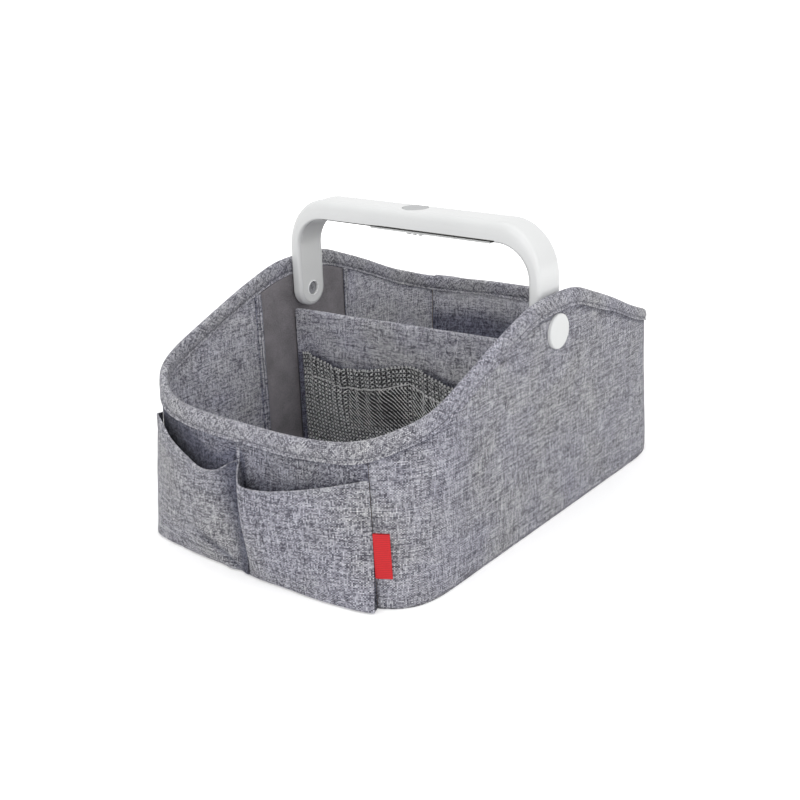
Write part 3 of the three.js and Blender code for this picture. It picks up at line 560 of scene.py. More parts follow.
def sew(name, line, out, size, body="body", material=THREAD, across=False):
    """A row of stitches along a line of points, each lying on the side that out points to; size is their
    pitch, length, width and height."""
    pitch, length, width, height = size
    line, out = np.asarray(line, float), np.asarray(out, float)
    steps = ways(line)
    middles = np.arange(pitch / 2, steps[-1], pitch)

    def at(where, table):
        return np.stack([np.interp(where, steps, table[:, k]) for k in range(3)], -1)

    centre, normal = at(middles, line), at(middles, out)
    normal /= np.linalg.norm(normal, axis=1, keepdims=True)
    along = at(middles + pitch * 0.3, line) - at(middles - pitch * 0.3, line)
    along -= normal * (along * normal).sum(1, keepdims=True)
    along /= np.linalg.norm(along, axis=1, keepdims=True)
    side = np.cross(normal, along)
    if across:
        along, side = side, along
    points = []
    for station in np.linspace(0, math.pi, 7)[1:-1]:
        ahead, thick = -math.cos(station) * length / 2, math.sin(station) ** 0.6
        for turn in np.linspace(0, 2 * math.pi, 8, endpoint=False):
            beside, above = math.cos(turn) * thick * width / 2, math.sin(turn) * thick * height
            points.append(centre + along * ahead + side * beside + normal * above)
    points = np.stack(points, 1)
    faces = [[k * points.shape[1] + i for i in f] for k in range(len(points)) for f in tube_faces(5, 8)]
    dress(new_object(name, points.reshape(-1, 3), faces, sharp=80, flip=False), material, body)


# ---- camera, lights and floor
AZIMUTH, ELEVATION, ROLL = math.radians(38.24), math.radians(20.28), math.radians(-1.91)
LIGHTS = (
    ("top_box", (0.25, -0.15, 1.5), (1.5, 1.5), 4.2),
    ("front_box", (0.1, -1.7, 0.9), (1.4, 1.0), 5.0),
    ("right_box", (1.7, -0.5, 0.8), (1.2, 1.0), 4.5),
)
LIT_SPOT = Vector((0, 0, 0.08))
WHITE, BLACK = (1.0, 1.0, 1.0, 1.0), (0.0, 0.0, 0.0, 1.0)


def place_camera():
    level = math.cos(ELEVATION)
    back = Vector((math.sin(AZIMUTH) * level, -math.cos(AZIMUTH) * level, math.sin(ELEVATION)))
    right = Vector((math.cos(AZIMUTH), math.sin(AZIMUTH), 0))
    up = back.cross(right)
    side = right * math.cos(ROLL) + up * math.sin(ROLL)
    top = up * math.cos(ROLL) - right * math.sin(ROLL)
    data = bpy.data.cameras.new("camera")
    data.sensor_width, data.lens = 36.0, 53.136
    data.clip_start, data.clip_end = 0.05, 20.0
    camera = linked("camera", data)
    turned = Matrix((side, top, back)).transposed().to_4x4()
    camera.matrix_world = Matrix.Translation(back * 0.8909 + right * -0.01506 + up * 0.06105) @ turned
    bpy.context.scene.camera = camera


def light_scene():
    scene = bpy.context.scene
    scene.view_settings.view_transform = "Standard"
    for name, at, size, power in LIGHTS:
        data = bpy.data.lights.new(name, "AREA")
        data.shape, data.energy = "RECTANGLE", power
        data.size, data.size_y = size
        light = linked(name, data)
        light.location = at
        light.rotation_mode = "QUATERNION"
        light.rotation_quaternion = (LIT_SPOT - Vector(at)).to_track_quat("-Z", "Y")
    scene.world = bpy.data.worlds.new("studio")
    t = Tree(world=scene.world)
    t.nodes.clear()
    shown = [t.node("Background", None, WHITE, strength).outputs[0] for strength in (0.95, 1.0)]
    t.node("OutputWorld", None, t.node("MixShader", None, t.seen(), *shown).outputs[0])


def lay_floor():
    """A pale floor that takes the shadow where it is looked at, and turns white and bright further out."""
    half, low = 30000.0, -0.05
    corners = [(-half, -half, low), (half, -half, low), (half, half, low), (-half, half, low)]
    floor = new_object("floor", corners, [(0, 1, 2, 3)], flip=False)
    t = Tree("pale_floor")
    where = t.position()
    tone = t.ramp(t.noise(where, 3.0), (0.3, srgb(233, 233, 233)), (0.7, srgb(238, 238, 238)))
    t.finish(tone, 0.9, Specular_IOR_Level=0.1)
    far = t.node("VectorMath", {"operation": "LENGTH"}, where).outputs["Value"]
    spread = t.node("MapRange", {"interpolation_type": "SMOOTHSTEP"}, far, 0.35, 1.2, 0.3, 1.0).outputs[0]
    dark, glow = (t.node("Emission", None, *v).outputs[0] for v in ((BLACK, 0.0), (WHITE, spread)))
    chosen = t.node("MixShader", None, t.seen(), dark, glow)
    both = t.node("AddShader", None, t.shader.outputs[0], chosen.outputs[0])
    t.links.new(both.outputs[0], t.nodes["Material Output"].inputs[0])
    floor.data.materials.append(t.owner)


place_camera()
light_scene()
lay_floor()

# ---- walls and lining
# Each pocket's ends, and over t from the middle seam its mouth's height and its bulge at three heights.
POCKETS = {
    "right": {
        "ends": (POCKET_SEAM + 2 * SEAM_STEP, FRONT_SEAM),
        "t": (0, 0.02, 0.045, 0.08, 0.13, 0.25, 0.45, 0.7, 0.9, 1),
        "mouth": (76.8, 75.4, 71.0, 67.3, 66.8, 67.5, 70.8, 76.6, 81.0, 82.2),
        "high": (0.8, 4.0, 8.5, 12.2, 13.6, 13.2, 11.0, 7.6, 3.4, 0.8),
        "middle": (2.4, 6.6, 10.6, 13.2, 14.0, 12.6, 10.0, 7.0, 3.4, 1.0),
        "low": (6.6, 6.8, 6.9, 7.0, 7.0, 6.8, 6.6, 6.6, 7.4, 7.8),
        "seed": 81,
    },
    "left": {
        "ends": (POCKET_SEAM - 2 * SEAM_STEP, -POCKET_END_LEFT),
        "t": (0, 0.05, 0.1, 0.17, 0.25, 0.32, 0.4, 0.5, 0.6, 0.7, 0.8, 0.88, 0.95, 1),
        "mouth": (76.8, 75.2, 72.6, 68.9, 68.1, 69.6, 74.0, 78.0, 81.4, 86.0, 88.4, 88.2, 87.2, 86.0),
        "high": (0.8, 1.6, 3.2, 6.0, 8.5, 10.0, 10.8, 10.8, 9.8, 8.4, 7.0, 6.0, 4.4, 0.8),
        "middle": (1.6, 1.6, 2.4, 4.2, 6.2, 7.8, 9.0, 9.6, 9.6, 9.0, 8.4, 7.8, 6.2, 1.0),
        "low": (6.8, 6.4, 6.0, 5.6, 5.4, 5.4, 5.6, 5.8, 6.2, 7.0, 8.4, 10.0, 9.2, 1.4),
        "seed": 91,
    },
}
# The middle seam leans: its foot stands this far to the right of its place, and its top to the left.
SEAM_LEAN_LOW, SEAM_LEAN_TOP, SEAM_TOP = 3.0, -5.0, 76.8
BINDING_DEPTH, BINDING_HEM = 12.6, 2.2


def pocket_length(spec, t, z):
    """The way round the wall to a pocket's point, t across from the middle seam."""
    a, b = (float(arc(e)) for e in spec["ends"])
    a = a + SEAM_LEAN_LOW + (SEAM_LEAN_TOP - SEAM_LEAN_LOW) * np.clip(np.asarray(z) / SEAM_TOP, 0, 1.1)
    return a + (b - a) * t


def flat_at(u, v, sheet):
    """Where points lie on the flat cloth; the last number tells one sheet of cloth from another."""
    u, v = np.broadcast_arrays(u, v)
    return np.stack([u, v, np.full(u.shape, float(sheet))], -1)


def mouth_height(place):
    """The height of the front pockets' mouths at places in front of the wall, and 0 beside them."""
    height = np.zeros(np.shape(place))
    for spec in POCKETS.values():
        a, b = (float(pocket_length(spec, end, SEAM_TOP)) for end in (0.0, 1.0))
        t = (arc(place) - a) / (b - a)
        height = np.where((t > 0) & (t < 1), through((spec["t"], spec["mouth"]), t), height)
    return height


def binding_depth(place):
    """How far the binding's outer flap reaches down, less round the back right corner."""
    return BINDING_DEPTH - 3.2 * bump_at(np.mod(np.asarray(place, float), 6) - 2.3, 0.55)


def wall_grid(run, short, step, low, up):
    """A grid over a run of the wall: places, heights, the ways to the nearer end, and the rim above each."""
    start, end = RUNS[run]
    places = places_by_length(start + short, end - short, step)
    top = rim_height(places) - RIM_DROP
    z = low + (top - low) * up[:, None]
    a = arc(places)
    way = np.minimum(a - a[0], a[-1] - a)
    return np.broadcast_to(places, z.shape), z, np.broadcast_to(way, z.shape), top


def wall_slab(name, p, z, insets, u, sheet, mirror=1, sharp=38):
    """A sheet of cloth that fills the wall between two insets; u is the way along it."""
    front, back = (wall_point(p, z, inset) * mirror for inset in insets)
    return slab(name, front, back, flat_at(u, z, sheet), sharp)


def wall_sheet(name, p, z, insets, sheet, painted_light, material, node, slot):
    """A sheet that covers a run of the wall."""
    made = shaded(wall_slab(name, p, z, insets, arc(p), sheet), painted_light, painted_light)
    dress(made, material, "body", node, slot)


def pocket_shade(p, z, run):
    """The painted shade on the wall behind a pocket, darkest below its mouth and on the left."""
    place = place_of(arc(p)) - (6 if run == "left" else 0)
    mouth = mouth_height(place)
    left = (place < POCKET_SEAM) * 1.0
    return (mouth > 0) * (0.42 + 0.14 * left + (0.36 + 0.5 * left) * smooth((mouth + 8 + 6 * left - z) / 14))


def outer_cloth(run, number):
    low = OUTER_CLOTH + 0.05
    up = np.concatenate([np.linspace(0, 0.04, 5)[:-1], np.linspace(0.04, 1, 70)])
    p, z, way, top = wall_grid(run, SEAM_STEP * 0.6, 2.0, low, up)
    u = arc(p)
    wave = np.maximum(0.42 * ripple(u, z, 95, 11 + number) + 0.16 * ripple(u, z, 34, 21 + number), -0.25)
    seam = 0.5 * bump_at(way, 1.5) - 0.35 * bump_at(way - 5, 3)
    foot = 0.7 * np.clip(1 - (z - low) / 2.2, 0, 1) ** 2
    outer = seam + foot - wave * (1 - bump_at(way, 5)) * np.clip(z / 12, 0, 1)
    inner = OUTER_CLOTH + 0.1 + seam * 0.2 + foot
    # Painted shadow: a thin dark line just under the binding's outer edge, and painted shade on the wall behind
    # the front pockets.
    painted_light = 0.75 * bump_at(rim_height(p) - binding_depth(p) - z - 0.6, 1.6)
    if run in ("front", "left"):
        painted_light = np.maximum(painted_light, pocket_shade(p, z, run))
    wall_sheet(f"outer_cloth_{run}", p, z, (outer, inner), number * 3.7, painted_light,
               MELANGE, f"outer_panel_{run}", "melange")


def lining_cloth(run, number):
    p, z, way, top = wall_grid(run, SEAM_STEP, 2.6, LINING_BOTTOM, np.linspace(0, 1, 46))
    u = arc(p)
    wave = 0.5 * (1 + 0.9 * ripple(u, z, 80, 41 + number)) * (1 - bump_at(way, 6))
    wave = np.clip(wave * (1 - bump_at(z - top, 14)), 0, 1.2)
    if run in ("left", "right"):  # flat behind the loop band
        wave = np.where(np.abs(wall_point(p, z, 0.0)[..., 1] + 0.5) < 52, 0.0, wave)
    insets = INNER_FACE + wave - 0.25 * bump_at(way, 2), LINING_INSET + 0.05
    # Painted shade and light: the back lining painted darker low down and lighter high up, the other linings
    # darker towards the floor, with a thin painted shadow under the binding and painted shade at the ends of
    # each run.
    low = 1.9 * smooth((106 - z) / 38) - 1.0 if run == "back" else 0.45 * smooth(1 - z / 55)
    painted_light = low + 0.5 * bump_at(rim_height(p) - BINDING_DEPTH - z, 1.4) + 0.3 * bump_at(way, 5)
    wall_sheet(f"lining_cloth_{run}", p, z, insets, (10 + number) * 3.7, painted_light,
               MELANGE_LINING, f"lining_{run}", "lining")


for i, run_name in enumerate(RUNS):
    outer_cloth(run_name, i)
    lining_cloth(run_name, i)


# ---- base
def base_sheet(name, inset, low, thick, material, node, slot, layer):
    """A sheet under the floor or on it, with a rolled edge, drawn in rings from the edge to the middle."""
    roll = 0.6
    edge = wall_point(places_by_length(0, 6, 3.2)[:-1], 0.0, inset)[:, :2]
    count = len(edge)
    tops, lows, flats = [], [], []
    for s in np.concatenate([[1.0], 1 - np.linspace(0.004, 0.06, 4), np.linspace(0.88, 0.06, 16)]):
        ring, way = edge * s, (1 - s) * 110
        half = thick / 2 * math.sqrt(1 - max(0.0, 1 - way / roll) ** 2)
        swell = np.clip(0.15 * (1 + ripple(ring[:, 0], ring[:, 1], 70, 61 + layer)), 0, 0.24)
        tops.append(np.column_stack([ring, low + thick / 2 + half + swell * min(1, way / 8) * layer]))
        lows.append(np.column_stack([ring, np.full(count, low + thick / 2 - half)]))
        flats.append(flat_at(*ring.T, 5.0 + layer))
    points = np.concatenate(tops + lows[::-1])
    cloth = np.concatenate(flats + flats[::-1])
    low_ring = len(tops) * count
    top_ring, last, middle = low_ring - count, len(points) - count, len(points)
    faces = grid_faces(2 * len(tops), count, wrap=True).tolist()
    faces = [f for f in faces if not top_ring <= f[0] < low_ring]
    points = np.concatenate([points, [[0, 0, points[top_ring:low_ring, 2].mean()], [0, 0, low]]])
    cloth = np.concatenate([cloth, [[0, 0, 5.0 + layer]] * 2])
    for i in range(count):
        j = (i + 1) % count
        faces += [[top_ring + i, top_ring + j, middle], [low_ring + i, middle + 1, low_ring + j],
                  [last + i, last + j, j, i]]
    made = dress(new_object(name, points, faces, cloth), material, "body", node, slot)


base_sheet("base_cloth", 0.0, 0.0, 0.8, MELANGE, "base_fabric", "melange", 0)
base_sheet("base_lining_cloth", INNER_FACE + GAP, LINING_BOTTOM, 0.6, MELANGE_LINING, "base_lining",
           "lining", 1)


# ---- binding
def make_binding():
    """Bias tape folded over the rim, its ends lapped near the back left corner."""
    end, lap, depth_in, thick, stand = 3.56, 16.0, 12.2, 0.85, 1.1
    puff_high, seam_deep, edge_rise, lap_lift = 0.42, 0.62, 0.16, 0.95
    first, last = arc(end) - lap, arc(end + 6)
    lengths = np.linspace(first, last, int((last - first) / 2.0))
    places = place_of(lengths)
    heights, depths_out = rim_height(places), binding_depth(places)
    lifts = smooth((lengths - (last - lap - 12)) / 14) * lap_lift
    middle = INNER_FACE / 2
    turns = np.linspace(0, math.pi, 13)[1:-1]
    rings, flats = [], []
    for place, s, h, lift, depth_out in zip(places, lengths, heights, lifts, depths_out):
        seam = depth_out - BINDING_HEM
        reach = middle + stand + lift
        rise = 0.28 * float(ripple(s, 0.0, 47, 71))
        waver = 0.5 * float(ripple(s, 3.0, 38, 72))
        pucker = 0.12 * math.sin(2 * math.pi * s / 3.4)

        def flap(depths, side, sway):
            """A flap's outer and under points, as inset and height."""
            d = depths + sway * np.maximum(0, depths - seam) / 2
            puff = puff_high * np.sin(math.pi * np.clip((d - RIM_DROP) / (seam - RIM_DROP), 0, 1))
            dip = (seam_deep + pucker) * bump_at(d - seam, 0.9)
            out = reach + puff * (1 + 0.4 * math.sin(s / 19.0 + side)) - dip
            out = out + edge_rise * np.maximum(0, d - seam)
            faces = out, reach - thick + 0 * d
            return [np.column_stack([middle + side * face, h - d + rise * 0.3]) for face in faces]

        def over_rim(radius, tall):
            return np.column_stack([middle - radius * np.cos(turns), h - RIM_DROP + tall * np.sin(turns)])

        outside = flap(np.linspace(depth_out, RIM_DROP, 19), -1, waver)
        inside = flap(np.linspace(RIM_DROP, depth_in, 15), 1, waver * 0.8)
        outer = np.vstack([outside[0], over_rim(reach, RIM_DROP + lift * 0.9 + rise), inside[0]])
        under = np.vstack([outside[1], over_rim(reach - thick, reach - thick), inside[1]])
        section = np.vstack([outer, under[::-1]])
        way = ways(outer)
        rings.append(wall_point(np.full(len(section), place), section[:, 1], section[:, 0]))
        flats.append(flat_at(s, np.concatenate([way, way[::-1]]), 41))
    made = loft("rim_binding_cloth", rings, np.concatenate(flats), sharp=50)
    dress(made, MELANGE_BIAS, "body", "rim_binding", "melange")
    for name, side, depths in (("outer", -1, depths_out - BINDING_HEM), ("inner", 1, depth_in - 2.0)):
        line = wall_point(places, heights - depths + 0.05, middle + side * (middle + stand - 0.45 + lifts))
        away = wall_point(places, heights - depths, middle + side * (middle + 4)) - line
        sew(f"binding_stitches_{name}", line, away, (3.4, 2.5, 0.55, 0.3))


make_binding()


# ---- front pockets
HEM_DEPTH, HEM_SEWN, HEM_THICK, HEM_GROOVE = 8.6, 7.0, 0.35, 0.3
POCKET_FOOT, POCKET_THICK = 1.3, 0.9
POCKET_WIDE = {"left": 96, "right": 94}


def pocket_surface(spec, t, s):
    """Place, height, way and bulge of the pocket's outer face, t across from the seam and s from 0 at the
    foot to 1."""
    mouth, high, middle, low = (through((spec["t"], spec[k]), t) for k in ("mouth", "high", "middle", "low"))
    bulge = low * (1 - s) * (1 - 2 * s) + 4 * middle * s * (1 - s) + high * s * (2 * s - 1)
    z = POCKET_FOOT + (mouth - POCKET_FOOT) * s
    length = pocket_length(spec, t, z)
    fade = np.clip(t * 14, 0, 1) * np.clip((1 - t) * 14, 0, 1)
    seed = spec["seed"]
    bulge = bulge + fade * (0.45 * ripple(length, z, 46, seed) + 0.2 * ripple(length, z, 19, seed + 1))
    return place_of(length), z, length, np.maximum(bulge, 0.7)


def pleat_way(t, z):
    """The way across from the slanting pleat at the left pocket's foot."""
    return t * POCKET_WIDE["left"] - 4 - 2.0 * z


def pocket_folds(name, t, s, z):
    """Soft creases of a pocket: a slanting pleat on the left one, a drape beside the seam on the right."""
    if name == "left":
        way = pleat_way(t, z)
        crease = -1.5 * bump_at(way, 4.5) + 0.9 * bump_at(way - 9, 5)
        return crease * np.clip(1.3 - z / 24, 0, 1) * np.clip(t * 12, 0, 1)
    across = t * POCKET_WIDE[name]
    drape = 0.5 * bump_at(across - 24 - z * 0.15, 6) - 0.4 * bump_at(across - 36 - z * 0.1, 6)
    return drape * np.clip(s, 0, 1) * np.clip((1 - t) * 8, 0, 1)


def make_pocket(name, spec, number):
    s = np.concatenate([np.linspace(0, 0.86, 52)[:-1], np.linspace(0.86, 1, 18)])
    tt, ss = np.meshgrid(np.linspace(0, 1, 121), s)
    place, z, length, bulge = pocket_surface(spec, tt, ss)
    down = z[-1] - z
    hem = HEM_THICK / (1 + np.exp((down - HEM_DEPTH) / 0.35))
    out = bulge + hem - HEM_GROOVE * bump_at(down - HEM_SEWN, 0.9) + pocket_folds(name, tt, ss, z)
    rolled = np.sin(np.linspace(0, math.pi / 2, 6)[:-1, None])

    def with_foot(foot, rest):
        """A grid with the rows of the rolled foot below it."""
        return np.vstack([np.broadcast_to(foot, (len(rolled), rest.shape[1])), rest])

    places, lengths, across = with_foot(place[0], place), with_foot(length[0], length), with_foot(tt[0], tt)
    heights = with_foot(0.35 + 0.95 * rolled, z)
    outs = with_foot(0.7 + (out[0] - 0.7) * rolled**0.8, out)
    lift = with_foot(0.75, np.clip(0.75 - z / 4, 0, 1))
    front = wall_point(places, heights, -outs)
    back = np.maximum(outs - POCKET_THICK - with_foot(0, hem), 0.36)
    back = wall_point(places, heights + lift, -back)
    made = slab(f"front_pocket_cloth_{name}", front, back, flat_at(lengths, heights, 20.0 + 3.1 * number))
    # Painted shade: on the left pocket's face in the valley beside the middle seam and along the slanting
    # pleat, on the right pocket's face in a thin line at the seam, and over each pocket's inner face; painted
    # light along the mouth's edge.
    if name == "left":
        valley = bump_at(across * POCKET_WIDE[name] - 3, 8 + 6 * smooth((heights - 20) / 40))
        pleat = 0.9 * bump_at(pleat_way(across, heights) + 2, 7) * np.clip(1.4 - heights / 24, 0, 1)
        front_painted_shade, behind = np.maximum(valley, pleat), 0.8
    else:
        front_painted_shade, behind = 0.5 * bump_at(across * POCKET_WIDE[name], 1.6), 0.5
    edge = with_foot(0, smooth((0.8 - down) / 0.6))
    shaded(made, front_painted_shade - edge * 0.45 - front_painted_shade * edge, behind - edge)
    dress(made, MELANGE, "body", f"front_pocket_{name}", "melange")
    t = np.linspace(0.01, 0.99, 240)
    mouth = through((spec["t"], spec["mouth"]), t)
    s = (mouth - HEM_SEWN - POCKET_FOOT) / (mouth - POCKET_FOOT)
    place, z, length, bulge = pocket_surface(spec, t, s)
    seat = bulge + HEM_THICK * 0.95 - HEM_GROOVE + pocket_folds(name, t, s, z)
    line = wall_point(place, z, -seat)
    sew(f"pocket_stitches_{name}", line, wall_point(place, z, -seat - 3) - line, (3.2, 2.4, 0.5, 0.3))


for i, (pocket_name, pocket_spec) in enumerate(POCKETS.items()):
    make_pocket(pocket_name, pocket_spec, i)


# ---- tab
def make_tab():
    """A folded ribbon caught in the front right seam, lying along the side."""
    reach, thick = 9.6, 0.42
    turns = np.linspace(0, math.pi, 8)[1:-1]
    t = np.concatenate([np.linspace(0, 1, 16), 1 + 0.045 * np.sin(turns), np.linspace(1, 0.02, 16)])
    side = np.concatenate([np.ones(16), np.cos(turns), -np.ones(16)])
    zz, tt = np.meshgrid(np.linspace(21, 49.6, 22), t, indexing="ij")
    place = place_of(float(arc(FRONT_SEAM)) + 0.4 + reach * tt)
    away = 0.9 + 0.3 * tt**2 + 0.2 * ripple(tt * 12, zz, 22, 31) + side * 0.5
    insets = [-(away + half) for half in (thick / 2, -thick / 2)]
    made = wall_slab("side_tab_ribbon", place, zz, insets, tt * reach, 33, sharp=60)
    dress(made, TAB, "body", "side_tab", "tab")


make_tab()


def make_band(name, mirror):
    """A loop band inside a side, and the lining's folded edges beside it, each with its row of stitches."""
    start, end = (arc(1 + (y - FRONT_END_Y) / (BACK_END_Y - FRONT_END_Y)) for y in (BAND_FRONT, BAND_BACK))
    face, low = INNER_FACE + GAP, FLOOR_TOP + 0.6
    seat = face + 0.55
    lengths = np.linspace(start, end, 64)
    top = rim_height(place_of(lengths)) - 13
    z = low + (top - low) * np.linspace(0, 1, 70)[:, None]
    u = np.broadcast_to(lengths, z.shape)
    p = place_of(u)
    edge = 0.35 * bump_at(np.minimum(u - start, end - u), 1.2)
    insets = face + 0.8 - edge + 0.1 * ripple(u, z, 30, 35), INNER_FACE + 0.12
    made = wall_slab(f"loop_band_cloth_{name}", p, z, insets, u, 35, mirror)
    dress(made, LOOP, "body", f"loop_band_{name}", "loop")
    spread = np.linspace(-0.6, 5.4, 13)
    bulge = 0.95 * np.sqrt(np.clip(1 - ((spread - 1.4) / 4.2) ** 2, 0, 1)) + 0.12
    # Painted shade in three lines along each folded edge: at both its sides and at its row of stitches.
    fold_painted_shade = 0.95 * (bump_at(spread + 0.3, 0.7) + bump_at(spread - 2.6, 0.45) + bump_at(spread - 5.2, 0.7))
    for which, at, turn in (("front", start, -1), ("back", end, 1)):
        z = low + (float(rim_height(place_of(at))) - 13.2 - low) * np.linspace(0, 1, 60)
        uu, zz = np.meshgrid(at + turn * spread, z)
        place = place_of(uu)
        front = seat + bulge * (1 + 0.12 * ripple(uu, zz, 16, 37))
        rear = np.where(spread > 0.9, INNER_FACE + 0.3, face + 0.95)
        fold = wall_slab(f"band_edge_{name}_{which}", place, zz, (front, rear), uu, 38, mirror)
        shaded(fold, *[np.broadcast_to(fold_painted_shade, uu.shape)] * 2)
        dress(fold, MELANGE_LINING, "body")
        place, z = place_of(at + turn * 2.6), np.linspace(z[0] + 2, z[-1] - 2, 200)
        line = wall_point(place, z, seat + 0.98)
        away = wall_point(place, z, INNER_FACE + 8) - line
        sew(f"band_stitches_{name}_{which}", line * mirror, away * mirror, (3.2, 2.3, 0.5, 0.25))


make_band("right", (1, 1, 1))
make_band("left", (-1, 1, 1))

# ---- divider
SPIN = np.array(Matrix.Rotation(DIVIDER_TURN, 3, "Z"))
BAND_FACE = HALF_WIDTH - INNER_FACE - GAP - 0.8
END_REACH = (BAND_FACE - GAP - DIVIDER_HALF * math.sin(DIVIDER_TURN)) / math.cos(DIVIDER_TURN)
SLEEVE_REACH = END_REACH - 0.8 - GAP
SLEEVE_BOTTOM = FLOOR_TOP + GAP

# Each net's ends along the divider, and over t from its outer end the heights of its top and its cord.
NETS = {
    "left": {
        "x": (-102.5, -3.9),
        "top": ((0, 0.096, 0.238, 0.38, 0.572, 0.755, 0.907, 1),
                (88, 89.8, 86, 83.4, 84.6, 87.6, 90.8, 92.4)),
        "cord": ((0, 0.12, 0.27, 0.41, 0.6, 0.78, 0.91, 1),
                 (75, 72.6, 70.8, 68.8, 69.6, 72.5, 76, 78.3)),
    },
    "right": {
        "x": (102.5, -3.2),
        "top": ((0, 0.1, 0.25, 0.4, 0.6, 0.77, 0.894, 1),
                (88, 89.5, 86, 83.6, 84, 87.3, 90.8, 92.4)),
        "cord": ((0, 0.12, 0.3, 0.5, 0.65, 0.776, 0.896, 1),
                 (75, 72.5, 70, 69, 69.2, 70.5, 74, 78.3)),
    },
}


def on_divider(points):
    """Points drawn on the divider, turned and moved to where it stands."""
    return np.asarray(points) @ SPIN.T + (0, DIVIDER_Y, 0)


def sleeve_shell(name, inset, hem_depth):
    """One closed skin of the sleeve: flat faces with soft undulation and a rolled top edge."""
    half, reach = DIVIDER_HALF - inset, SLEEVE_REACH - inset
    low, top = SLEEVE_BOTTOM + inset, DIVIDER_TOP - inset
    steps = 60
    rise, turns = np.linspace(low, top - half, steps), np.linspace(0, math.pi, 13)[1:-1]
    y, z = np.concatenate([
        np.column_stack([np.full(steps, -half), rise]),
        np.column_stack([-half * np.cos(turns), top - half + half * np.sin(turns)]),
        np.column_stack([np.full(steps, half), rise[::-1]]),
    ]).T
    way = ways(np.column_stack([y, z]))
    upper = np.clip((z - 60) / 40, 0, 1)
    hem = hem_depth * bump_at(z - (top - 10.5), 0.9)
    rings, flats = [], []
    for x in np.linspace(-reach, reach, 130):
        wave = 0.55 * ripple(x, z * 0.6, 60, 51) + 0.2 * ripple(x, z, 24, 52)
        wave = np.maximum(wave * np.clip((reach - abs(x)) / 12, 0, 1), -0.5)
        lift = wave * 0.6 * upper + 0.25 * upper - hem
        raised = z + 0.35 * ripple(x, 7.0, 70, 53) * (z > top - 2.5)
        rings.append(on_divider(np.column_stack([np.full(len(z), x), y + np.sign(y) * lift, raised])))
        flats.append(flat_at(x, way, 51))
    return loft(name, rings, np.concatenate(flats), sharp=50), way[-1]


def make_sleeve():
    """The divider's cloth sleeve, a sheet folded over the board and sewn shut, hollow inside."""
    made, way = sleeve_shell("divider_cloth", 0.0, 0.3)
    spots = (np.array([v.co for v in made.data.vertices]) / MM - (0, DIVIDER_Y, 0)) @ SPIN
    tops = np.where(spots[:, 0] < NETS["left"]["x"][1], *(
        through(n["top"], (spots[:, 0] - n["x"][0]) / (n["x"][1] - n["x"][0])) for n in NETS.values()))
    # Painted shade on the sleeve's front face under the nets, up to just above their tops.
    shaded(made, (spots[:, 1] < 0) * smooth((tops + 3 - spots[:, 2]) / 9) * 0.95)
    lining = sleeve_shell("sleeve_inside", 0.8, 0.0)[0]
    lining.data.flip_normals()
    for o in bpy.context.selected_objects:
        o.select_set(False)
    made.select_set(True)
    lining.select_set(True)
    bpy.context.view_layer.objects.active = made
    bpy.ops.object.join()
    dress(made, MELANGE_DIVIDER, "divider", "divider_sleeve", "melange")


make_sleeve()

# ---- net pockets
NET_BOTTOM, NET_TALL, NET_CELL = 9.0, 88.0, 3.4
# Two layers of strands: shift in cells, thickness, width, distance out and share of the painted glints.
NET_LAYERS = ((0.0, 0.45, 0.68, 0.4, 1.0), (0.5, 0.4, 1.5, -0.1, 0.0))


def cord_share(spec, t):
    """The cord's height as a share of the net's."""
    return (through(spec["cord"], t) - NET_BOTTOM) / (through(spec["top"], t) - NET_BOTTOM)


def net_lift(t, up, cord, seed):
    """How far the net stands off the divider: gathers under the cord, and a fuller ruffle above it."""
    full = np.where(t < 0.5, np.clip(np.sin(math.pi * t), 0, 1) ** 0.5, 1 - 0.6 * smooth((t - 0.7) / 0.3))
    belly = 9.0 * full * np.sin(math.pi / 2 * np.clip(up / cord, 0, 1)) ** 0.8
    rng = np.random.RandomState(seed)
    gathers = 0
    for k in range(7):
        rate, phase = 3.5 + 1.9 * k + rng.uniform(-0.6, 0.6), rng.uniform(0, 6.28)
        gathers = gathers + np.cos(2 * math.pi * rate * t + phase) / (1 + 0.25 * k)
    beyond = (up - cord) / cord
    above = np.clip((up - cord) / (1 - cord), 0, 1)
    pull = 0.8 * bump_at(beyond, 0.42) * gathers * full
    ruffle = 0.3 * above * gathers * full + 0.9 * above * full
    return 0.5 + belly + pull + ruffle - bump_at(beyond, 0.05) * full


def net_surface(spec, t, up, seed, extra=0.0):
    """Points of the net where it stands, t across and up from its foot."""
    start, end = spec["x"]
    z = NET_BOTTOM + (through(spec["top"], t) - NET_BOTTOM) * up
    y = -(DIVIDER_HALF + 0.45 + net_lift(t, up, cord_share(spec, t), seed) + extra)
    return on_divider(np.stack(np.broadcast_arrays(start + (end - start) * t, y, z), -1))


def net_painted_sheen(spec, t, up, slope):
    """The painted sheen on a strand where the gathers draw it out, below zero where the painted glints at its
    loops are dimmed.
    """
    below = smooth((cord_share(spec, t) - up) / 0.05) * smooth((up - 0.3) / 0.2)
    return -slope * below * smooth((t - 0.44) / 0.08) * smooth((1.03 - t) / 0.1)


def strand(points, thick, wide):
    """A four-sided strand along a line of points: its points and faces."""
    along = np.gradient(points, axis=0)
    along /= np.maximum(np.linalg.norm(along, axis=1, keepdims=True), 1e-9)
    side = np.cross(along, (0.0, -1.0, 0.0))
    side /= np.maximum(np.linalg.norm(side, axis=1, keepdims=True), 1e-9)
    away = np.cross(side, along)
    corners = [side * wide / 2, away * thick / 2, -side * wide / 2, -away * thick / 2]
    return np.stack([points + c for c in corners], 1).reshape(-1, 3), tube_faces(len(points), 4)


